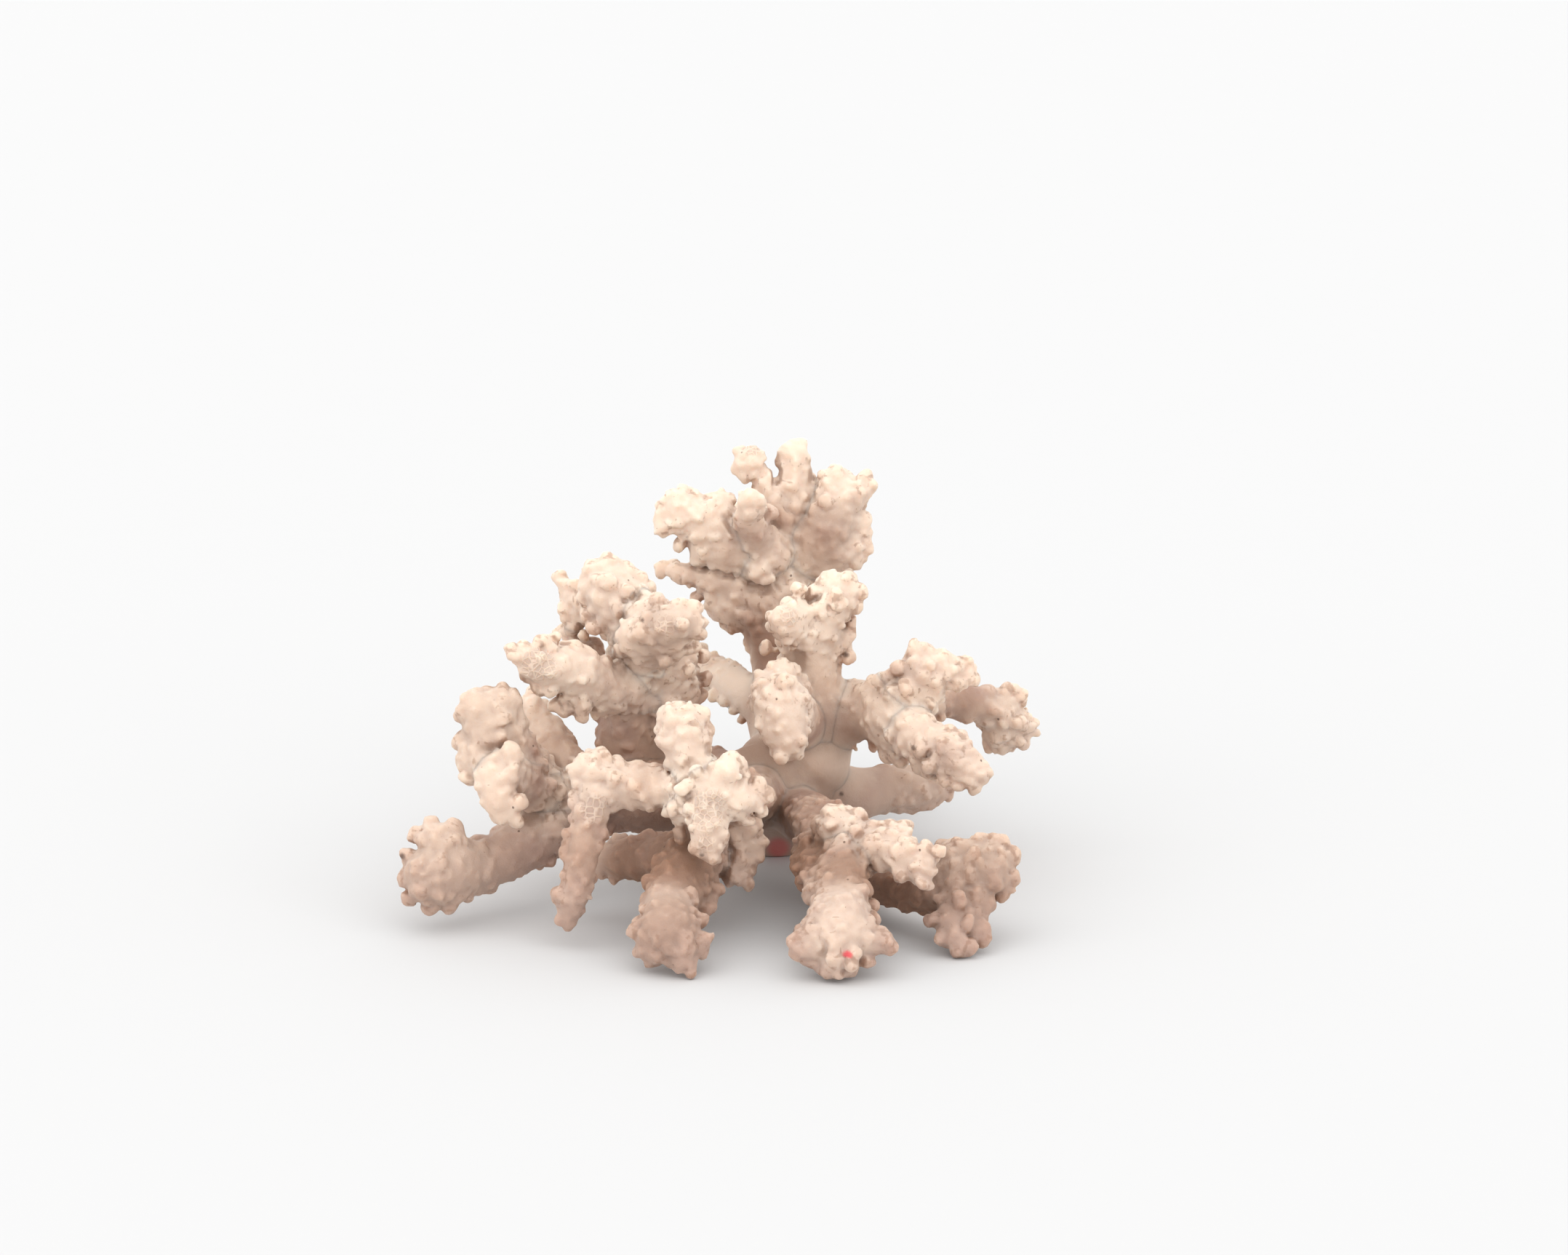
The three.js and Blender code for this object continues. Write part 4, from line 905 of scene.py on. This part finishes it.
    def add_piece(self, index, name, paths):
        """Adds the round cones between the points of each path: the distance to a cone is the
        distance to its axis less the radius there. A limb's cones meet sharply, and limbs
        join in a fillet."""
        points = np.vstack(paths)
        reach = points[:, 3].max() + FAR
        slices, (x, y, z) = self.window(points[:, :3].min(0) - reach, points[:, :3].max(0) + reach)
        own = np.full((x.size, y.size, z.size), FAR, np.float32)
        corner = np.array([s.start for s in slices])
        for path in paths:
            limb = np.full(own.shape, FAR, np.float32)
            for a, b in zip(path[:-1], path[1:]):
                margin = max(a[3], b[3]) + FAR
                part, (px, py, pz) = self.window(
                    np.minimum(a, b)[:3] - margin, np.maximum(a, b)[:3] + margin)
                part = tuple(slice(s.start - c, s.stop - c) for s, c in zip(part, corner))
                axis = b - a
                px, py, pz = px - a[0], py - a[1], pz - a[2]
                t = (px * axis[0] + py * axis[1] + pz * axis[2]) / (axis[:3] @ axis[:3])
                t = np.clip(t, 0, 1)
                gap = np.sqrt((px - t * axis[0])**2 + (py - t * axis[1])**2 + (pz - t * axis[2])**2)
                limb[part] = np.minimum(limb[part], gap - (a[3] + t * axis[3]))
            self.skin[slices] = smooth_min(self.skin[slices], limb, self.shape.fillet)
            np.minimum(own, limb, out=own)
        closer = own < self.nearest[slices]
        self.second[slices] = np.where(
            closer, self.nearest[slices], np.minimum(self.second[slices], own))
        self.nearest[slices] = np.where(closer, own, self.nearest[slices])
        self.owner[slices] = np.where(closer, index, self.owner[slices])
        self.own[name] = (index, slices, own.astype(np.float16))

    def add_stub(self, base, axis, radius, fillet, lined=False):
        """Joins a stub to the skin: its distance is that to its axis less its radius. A stub
        can be lined: then the crease round it is marked."""
        reach = radius + self.shape.rough + 2 * fillet
        slices, (x, y, z) = self.window(
            np.minimum(base, base + axis) - reach, np.maximum(base, base + axis) + reach)
        x, y, z = x - base[0], y - base[1], z - base[2]
        t = np.clip((x * axis[0] + y * axis[1] + z * axis[2]) / max(axis @ axis, 1e-6), 0, 1)
        gap = np.sqrt((x - t * axis[0])**2 + (y - t * axis[1])**2 + (z - t * axis[2])**2) - radius
        gap = gap + self.rough[slices] * min(1, radius / 1.3)
        below = self.skin[slices]
        if lined:
            rise = gap - below
            steep = np.sqrt(sum(slope**2 for slope in np.gradient(rise, self.step)))
            line = 1 - np.abs(rise) / (CREASE_WIDTH * steep + 0.01)
            line = np.maximum(self.crease[slices] * smoothstep(-0.6, 0.2, gap), line)
            self.crease[slices] = line
        self.skin[slices] = smooth_min(below, gap.astype(np.float32), fillet)

    def piece_field(self, name):
        """The distances of one piece: the skin, cut where another piece's limbs are nearer. Past
        the seam the piece goes on a little, sunk under its neighbour."""
        index, slices, own = self.own[name]
        other = np.where(self.owner[slices] == index, self.second[slices], self.nearest[slices])
        beyond = (own.astype(np.float32) - other) / 2
        sunk = self.skin[slices] + SEAM_SINK * smoothstep(0, SEAM_REACH, beyond)
        low = self.low + self.step * np.array([s.start for s in slices])
        return np.maximum(sunk, beyond - SEAM_REACH), low

    def distance(self, points):
        """The skin's distance at any points."""
        return self.sample(self.skin, points)

    def sample(self, grid, points):
        """A grid's values at any points, by trilinear interpolation."""
        where = (points - self.low) / self.step
        base = np.clip(np.floor(where), 0, self.count - 2).astype(int)
        part = np.clip(where - base, 0, 1)
        total = np.zeros(len(points))
        for corner in np.ndindex(2, 2, 2):
            weight = np.prod(np.where(corner, part, 1 - part), axis=1)
            i, j, k = (base + corner).T
            total += weight * grid[i, j, k]
        return total


def surface_net(field, low, step):
    """The surface where a field is zero: one point in each grid cell that the surface passes,
    at the mean of its crossings with the cell's edges, and one four-sided face round each
    grid edge that it crosses, facing out."""
    inside = field < 0
    corners = [inside[i:i - 1 or None, j:j - 1 or None, k:k - 1 or None]
               for i, j, k in np.ndindex(2, 2, 2)]
    filled = sum(c.astype(np.int8) for c in corners)
    active = (filled > 0) & (filled < 8)
    cells = np.argwhere(active)
    number = np.full(active.shape, -1, np.int64)
    number[active] = np.arange(len(cells))
    total = np.zeros((len(cells), 3))
    crossings = np.zeros(len(cells))
    for a in np.ndindex(2, 2, 2):
        for axis in range(3):
            if a[axis]:
                continue
            b = np.array(a)
            b[axis] = 1
            fa = field[tuple((cells + a).T)]
            fb = field[tuple((cells + b).T)]
            crossed = (fa < 0) != (fb < 0)
            t = np.where(crossed, fa / np.where(crossed, fa - fb, 1), 0)
            total += np.where(crossed[:, None], np.array(a) + t[:, None] * (b - np.array(a)), 0)
            crossings += crossed
    points = low + step * (cells + total / crossings[:, None])
    faces = []
    for axis in range(3):
        u, v = (axis + 1) % 3, (axis + 2) % 3
        here = np.moveaxis(inside, [axis, u, v], [0, 1, 2])
        ids = np.moveaxis(number, [axis, u, v], [0, 1, 2])
        change = here[:-1, 1:-1, 1:-1] != here[1:, 1:-1, 1:-1]
        i, j, k = np.nonzero(change)
        quad = np.stack([ids[i, j, k], ids[i, j + 1, k], ids[i, j + 1, k + 1], ids[i, j, k + 1]], 1)
        outward = here[i, j + 1, k + 1]
        faces.append(np.where(outward[:, None], quad, quad[:, ::-1]))
    return points, np.vstack(faces)


def colony(shape):
    """The coral's field, worked out the first time that a piece asks for it."""
    if not hasattr(colony, "made"):
        colony.made = Colony(shape)
    return colony.made


def grow_piece(context, name):
    """Makes one piece's mesh with its attributes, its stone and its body."""
    coral = colony(context.scene.coral_shape)
    field, low = coral.piece_field(name)
    points, faces = surface_net(field, low, coral.step)
    points[:, 2] = np.maximum(points[:, 2], 0)
    mesh = bpy.data.meshes.new(name + "_skin")
    mesh.vertices.add(len(points))
    mesh.vertices.foreach_set("co", (points * MM).ravel())
    mesh.loops.add(faces.size)
    mesh.loops.foreach_set("vertex_index", faces.ravel())
    mesh.polygons.add(len(faces))
    mesh.polygons.foreach_set("loop_start", np.arange(0, faces.size, 4))
    mesh.polygons.foreach_set("use_smooth", np.ones(len(faces), bool))
    mesh.update(calc_edges=True)
    mesh.validate()
    normals = np.empty(len(points) * 3)
    mesh.vertices.foreach_get("normal", normals)
    for label, values in skin_marks(coral, points, normals.reshape(-1, 3)).items():
        mesh.attributes.new(label, "FLOAT", "POINT").data.foreach_set("value", values)
    piece = bpy.data.objects.new(name + "_skin", mesh)
    context.collection.objects.link(piece)
    mesh.materials.append(coral_stone(context))
    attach(piece, "root")
    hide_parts(name)
    return piece


def near_spots(points, spots, fade):
    """A spot's strength at points near its middle and 0 far off, with a smoothstep between two
    shares of its reach."""
    made = np.zeros(len(points))
    for middle, reach, strength in spots.values():
        gap = np.linalg.norm(points - middle, axis=1)
        near = 1 - smoothstep(fade[0] * reach, fade[1] * reach, gap)
        np.maximum(made, strength * near, out=made)
    return made


def seen_near(points, middle, radius, front, back):
    """1 at points within about a radius of the camera's line through a middle, and from so many
    mm before the middle to so many behind it."""
    away = points - middle
    across = np.linalg.norm(np.cross(away, TO_VIEW), axis=1)
    depth = away @ np.array(TO_VIEW)
    return (1 - smoothstep(0.5, 1.3, across / radius)) * (depth < front) * (depth > -back)


def skin_marks(coral, points, normals):
    """What the stone's colours follow, as numbers from 0 to 1 at each point. light marks the pale
    places, mostly painted highlight, the next mark the places of brown painted shade, and pits the
    honeycombed places; specks are the single dark ones, with painted shade for a hole and for the
    gap under the base, and red the spot on the foot and the edge of the base. hollow is how much of
    the way out is taken by other skin, and sets painted shade. tip falls off from each limb's tip,
    and stem grows away from it. crease lies round the lumps and carries lines of painted shade, and
    up is 1 where the skin faces up, where highlight is painted."""
    tip_gap = coral.tip_gap(points)
    from_spot = np.linalg.norm((points - RED_SPOT) * RED_SPOT_SQUEEZE, axis=1)
    red = 1 - smoothstep(0.8, 1.6, from_spot)
    red = np.maximum(red, 0.6 * seen_near(points, RED_EDGE, RED_EDGE_RADIUS, *RED_EDGE_DEPTH))
    specks = np.zeros(len(points))
    for middle, radius in DARK_SPECKS.values():
        np.maximum(specks, seen_near(points, middle, radius, SPECK_DEPTH, SPECK_DEPTH), out=specks)
    outside = coral.distance(points + normals * HOLLOW_REACH) / HOLLOW_REACH
    return {
        "light": near_spots(points, PALE_AND_HIGHLIGHT_SPOTS, PALE_AND_HIGHLIGHT_FADE),
        "painted_shade": near_spots(points, PAINTED_SHADE_SPOTS, PAINTED_SHADE_FADE),
        "pits": near_spots(points, PITTED_SPOTS, PITTED_FADE),
        "specks": specks,
        "red": red,
        "hollow": np.clip(1 - outside, 0, 1),
        "tip": 1 - np.clip(tip_gap / TIP_REACH, 0, 1),
        "stem": smoothstep(*STEM_RANGE, tip_gap),
        "crease": coral.sample(coral.crease, points),
        "up": np.clip(normals[:, 2], 0, 1),
    }


class Wire:
    """A node's output that can stand in an expression: + - and * add Math nodes."""

    def __init__(self, tree, socket):
        self.tree = tree
        self.socket = socket

    def math(self, operation, other, swapped=False):
        node = self.tree.nodes.new("ShaderNodeMath")
        node.operation = operation
        for slot, value in zip(node.inputs, (other, self) if swapped else (self, other)):
            join(self.tree, value, slot)
        return Wire(self.tree, node.outputs[0])

    def __add__(self, other):
        return self.math("ADD", other)

    def __sub__(self, other):
        return self.math("SUBTRACT", other)

    def __rsub__(self, other):
        return self.math("SUBTRACT", other, swapped=True)

    def __mul__(self, other):
        return self.math("MULTIPLY", other)

    def clamped(self):
        """The value held between 0 and 1."""
        made = self.math("ADD", 0.0)
        made.socket.node.use_clamp = True
        return made

    __radd__ = __add__
    __rmul__ = __mul__


def join(tree, value, socket):
    """Links a Wire to a socket, or sets the socket to a plain value."""
    if isinstance(value, Wire):
        tree.links.new(value.socket, socket)
    else:
        socket.default_value = value


class Stone:
    """A material's nodes, added one by one."""

    def __init__(self, name):
        self.material = bpy.data.materials.new(name)
        self.material.use_nodes = True
        self.tree = self.material.node_tree
        self.tree.nodes.clear()

    def add(self, kind, settings=None, inputs=None, output=0):
        """A node of a kind: its settings are set first, then its sockets' values or links."""
        node = self.tree.nodes.new(kind)
        for key, value in (settings or {}).items():
            setattr(node, key, value)
        for key, value in (inputs or {}).items():
            join(self.tree, value, node.inputs[key])
        return Wire(self.tree, node.outputs[output]) if node.outputs else None

    def mark(self, name):
        """One of the numbers that the mesh holds at each point."""
        return self.add("ShaderNodeAttribute", {"attribute_name": name}, output="Fac")

    def noise(self, place, per_mm, detail=3.0, roughness=0.55):
        return self.add(
            "ShaderNodeTexNoise", {"noise_dimensions": "3D"},
            {"Vector": place, "Scale": per_mm * 1000, "Detail": detail, "Roughness": roughness})

    def mix(self, amount, first, second):
        """Two colours mixed by an amount."""
        return self.add(
            "ShaderNodeMix", {"data_type": "RGBA", "clamp_factor": True},
            {0: amount, 6: rgba(first), 7: rgba(second)}, output=2)

    def range(self, value, low, high, to_low=0.0, to_high=1.0):
        """A value taken smoothly from one range to another."""
        return self.add(
            "ShaderNodeMapRange", {"interpolation_type": "SMOOTHSTEP"},
            {0: value, 1: low, 2: high, 3: to_low, 4: to_high})


def rgba(colour):
    """A colour with its alpha, or a Wire as it is."""
    return colour if isinstance(colour, Wire) else (*colour[:3], 1.0)


def coral_stone(context):
    """Pale stone: ivory at the bleached tips, with painted highlight where the skin faces up, high
    up and in the pale spots; cream with pinkish patches; brown painted shade in hollows, in the
    shade spots and in fine dark lines in the crevices; brown near the trunk, partly painted shade;
    mauve painted shade low down; specks; and a sandy skin."""
    made = bpy.data.materials.get("coral_surface")
    if made:
        return made
    colours = context.scene.coral_colours
    stone = Stone("coral_surface")
    place = stone.add("ShaderNodeTexCoord", output="Object")
    height = stone.add("ShaderNodeSeparateXYZ", inputs={0: place}, output="Z")
    hollow, tip, light, stem = (stone.mark(name) for name in ("hollow", "tip", "light", "stem"))
    pits, red = stone.mark("pits"), stone.mark("red")
    patches = stone.noise(place, 0.07, 2.0)
    mottle = stone.noise(place, 0.35, 4.0)
    sand = stone.noise(place, 2.2, 3.0, 0.7)

    cream = stone.mix(stone.range(patches, 0.35, 0.7), colours.cream, colours.mauve_and_shade)
    # Browner on the stems away from the tips: partly the stone's own tone, partly painted shade deep
    # in the colony.
    base = stone.mix(stem * 0.85, cream, colours.brown_and_shade)
    # Paler at the bleached tips and in the random mottle, with painted highlight where the skin
    # faces up and on the high parts.
    pale = (stone.mark("up") * 0.2 + tip * 0.9 + mottle * 0.5 - 0.5 - stem * 0.3
            + stone.range(height, 0.035, 0.09, 0.0, 0.15)).clamped()
    base = stone.mix(pale, base, colours.ivory_and_highlight)
    # Painted shade: mauve on the low parts, darker towards the bottom.
    low = stone.range(height, 0.002, 0.035, 0.85, 0.0)
    base = stone.mix(low, base, colours.mauve_and_shade)
    # Painted shade: brown in the shade spots.
    base = stone.mix(stone.mark("painted_shade"), base, colours.brown_and_shade)
    # Painted highlight, partly bleached stone: ivory in the pale spots.
    base = stone.mix(light, base, colours.ivory_and_highlight)
    # Painted shade: brown in the hollows, where other skin is near.
    base = stone.mix(stone.range(hollow, 0.35, 0.95, 0.0, 0.6), base, colours.brown_and_shade)
    # Painted shade: fine brown lines in the creases round the lumps.
    crease_shade = stone.range(stone.mark("crease") * 0.8 + mottle * 0.6, 0.82, 1.02, 0.0, 0.5)
    base = stone.mix(crease_shade, base, colours.brown_and_shade)
    specks = stone.add(
        "ShaderNodeTexVoronoi", {"feature": "F1"}, {"Vector": place, "Scale": 150.0},
        output="Distance")
    speck = stone.range(specks, 0.03, 0.06, 0.8, 0.0)
    base = stone.mix(speck, base, colours.dust)
    # Single dark specks, and painted shade for a hole and for the gap under the base.
    base = stone.mix(stone.mark("specks") * 0.85, base, colours.speck)
    base = stone.mix(red, base, colours.red)

    cells = stone.add(
        "ShaderNodeTexVoronoi", {"feature": "DISTANCE_TO_EDGE"}, {"Vector": place, "Scale": 700.0},
        output="Distance")
    wall = stone.range(cells, 0.03, 0.2, 1.0, 0.0)
    # Painted shade inside the honeycomb cups and painted highlight on their walls.
    base = stone.mix(pits * (0.35 - wall * 0.35), base, colours.mauve_and_shade)
    base = stone.mix(pits * wall * 0.5, base, colours.ivory_and_highlight)
    relief = sand * 0.00018 + mottle * 0.0003 + wall * pits * 0.0005
    bump = stone.add(
        "ShaderNodeBump", inputs={"Strength": 0.8, "Distance": 1.0, "Height": relief})
    skin = stone.add("ShaderNodeBsdfPrincipled", inputs={
        "Base Color": base,
        "Roughness": stone.range(sand, 0.2, 0.8, 0.6, 0.8),
        "Normal": bump,
        "Specular IOR Level": 0.35,
        "Subsurface Weight": 0.8,
        "Subsurface Radius": (1.0, 0.8, 0.65),
        "Subsurface Scale": 0.0045,
    })
    stone.add("ShaderNodeOutputMaterial", inputs={"Surface": skin})
    return stone.material


CAMERA_PLACE = (0.003, -0.931, 0.270)
CAMERA_TILT = math.radians(13)  # below level


class CORAL_OT_stage(bpy.types.Operator):
    """Set the pale floor, the soft lights and the camera"""

    bl_idname = "coral.stage"
    bl_label = "Stage"

    def execute(self, context):
        settings = context.scene.coral_studio
        half = 8.0
        mesh = bpy.data.meshes.new("floor")
        mesh.from_pydata(
            [(-half, -half, 0), (half, -half, 0), (half, half, 0), (-half, half, 0)], [],
            [(0, 1, 2, 3)])
        floor = bpy.data.objects.new("floor", mesh)
        context.collection.objects.link(floor)
        pale = Stone("floor_paper")
        place = pale.add("ShaderNodeTexCoord", output="Object")
        tint = pale.mix(pale.noise(place, 0.02, 2.0) * 0.12, settings.floor, settings.floor_cloud)
        surface = pale.add("ShaderNodeBsdfPrincipled", inputs={
            "Base Color": tint, "Roughness": 0.9, "Specular IOR Level": 0.2})
        pale.add("ShaderNodeOutputMaterial", inputs={"Surface": surface})
        mesh.materials.append(pale.material)

        lamp = bpy.data.lights.new("key_light", "SUN")
        lamp.energy = settings.key_power
        lamp.angle = settings.softness
        light = bpy.data.objects.new("key_light", lamp)
        light.rotation_euler = (math.radians(55), math.radians(-10), 0)
        context.collection.objects.link(light)
        world = bpy.data.worlds.new("sky")
        world.use_nodes = True
        sky = world.node_tree.nodes["Background"]
        sky.inputs["Color"].default_value = (1, 1, 1, 1)
        sky.inputs["Strength"].default_value = settings.sky
        context.scene.world = world
        context.scene.view_settings.view_transform = "Standard"

        lens = bpy.data.cameras.new("camera")
        lens.lens = settings.lens
        lens.sensor_width = 36
        lens.clip_start = 0.01
        camera = bpy.data.objects.new("camera", lens)
        camera.location = CAMERA_PLACE
        camera.rotation_euler = (math.pi / 2 - CAMERA_TILT, 0, 0)
        context.collection.objects.link(camera)
        context.scene.camera = camera
        return {"FINISHED"}


class Grower:
    """What the operators that grow pieces share."""

    pieces = ()

    def execute(self, context):
        for name in self.pieces:
            grow_piece(context, name)
        return {"FINISHED"}


class CORAL_OT_trunk(Grower, bpy.types.Operator):
    """Grow the smooth trunk with its flat cut"""

    bl_idname = "coral.trunk"
    bl_label = "Trunk"
    pieces = ("trunk",)


class CORAL_OT_crown(Grower, bpy.types.Operator):
    """Grow the crown at the rear top"""

    bl_idname = "coral.crown"
    bl_label = "Crown"
    pieces = ("crown_stem", "crown_left_arm", "crown_right_arm", "crown_spires",
              "crown_rear_arm")


class CORAL_OT_middle(Grower, bpy.types.Operator):
    """Grow the upper right branch and the oval lobe in front of it"""

    bl_idname = "coral.middle"
    bl_label = "Middle branches"
    pieces = ("upper_right_branch", "oval_front_lobe")


class CORAL_OT_right(Grower, bpy.types.Operator):
    """Grow the branches on the right"""

    bl_idname = "coral.right"
    bl_label = "Right branches"
    pieces = ("right_stem", "right_upper_arm", "right_lower_arm", "right_rear_arm",
              "right_side_branch", "low_right_fan")


class CORAL_OT_legs(Grower, bpy.types.Operator):
    """Grow the two legs that reach forwards and end in feet"""

    bl_idname = "coral.legs"
    bl_label = "Front legs"
    pieces = ("front_right_leg", "front_right_arm", "front_left_leg")


class CORAL_OT_upper_left(Grower, bpy.types.Operator):
    """Grow the upper left stem and its lobes"""

    bl_idname = "coral.upper_left"
    bl_label = "Upper left branches"
    pieces = ("upper_left_stem", "upper_left_lobe", "upper_left_front_lobe",
              "upper_left_rear_lobe", "left_middle_branch", "left_rear_finger")


class CORAL_OT_far_left(Grower, bpy.types.Operator):
    """Grow the long stem to the left and its lobes"""

    bl_idname = "coral.far_left"
    bl_label = "Far left branches"
    pieces = ("left_stem", "far_left_lobe", "far_left_front_lobe", "far_left_rear_finger",
              "low_left_branch")


class CORAL_OT_star(Grower, bpy.types.Operator):
    """Grow the star-shaped cluster in the front centre"""

    bl_idname = "coral.star"
    bl_label = "Star"
    pieces = ("star_branch", "star_finger", "star_left_arm", "star_low_finger")


class CORAL_OT_rear(Grower, bpy.types.Operator):
    """Grow the branches behind"""

    bl_idname = "coral.rear"
    bl_label = "Rear branches"
    pieces = ("rear_left_branch", "rear_upper_branch", "rear_low_branch", "rear_right_branch",
              "rear_foot")


OPERATORS = (
    CORAL_OT_stage, CORAL_OT_trunk, CORAL_OT_crown, CORAL_OT_middle, CORAL_OT_right,
    CORAL_OT_legs, CORAL_OT_upper_left, CORAL_OT_far_left, CORAL_OT_star, CORAL_OT_rear)


class CORAL_PT_panel(bpy.types.Panel):
    """Lists the sizes, the colours and the steps that grow the coral"""

    bl_idname = "CORAL_PT_panel"
    bl_label = "Coral"
    bl_space_type = "VIEW_3D"
    bl_region_type = "UI"
    bl_category = "Coral"

    def draw(self, context):
        for group in (context.scene.coral_shape, context.scene.coral_colours,
                      context.scene.coral_studio):
            for name in group.__annotations__:
                self.layout.prop(group, name)
        for operator in OPERATORS:
            self.layout.operator(operator.bl_idname)


CLASSES = (CoralShape, CoralColours, StudioSettings, *OPERATORS, CORAL_PT_panel)


def register():
    for made in CLASSES:
        bpy.utils.register_class(made)
    bpy.types.Scene.coral_shape = bpy.props.PointerProperty(type=CoralShape)
    bpy.types.Scene.coral_colours = bpy.props.PointerProperty(type=CoralColours)
    bpy.types.Scene.coral_studio = bpy.props.PointerProperty(type=StudioSettings)


def unregister():
    del bpy.types.Scene.coral_shape, bpy.types.Scene.coral_colours, bpy.types.Scene.coral_studio
    for made in reversed(CLASSES):
        bpy.utils.unregister_class(made)


def main():
    register()
    for operator in OPERATORS:
        getattr(bpy.ops.coral, operator.bl_idname.split(".")[1])()


if __name__ == "__main__":
    main()
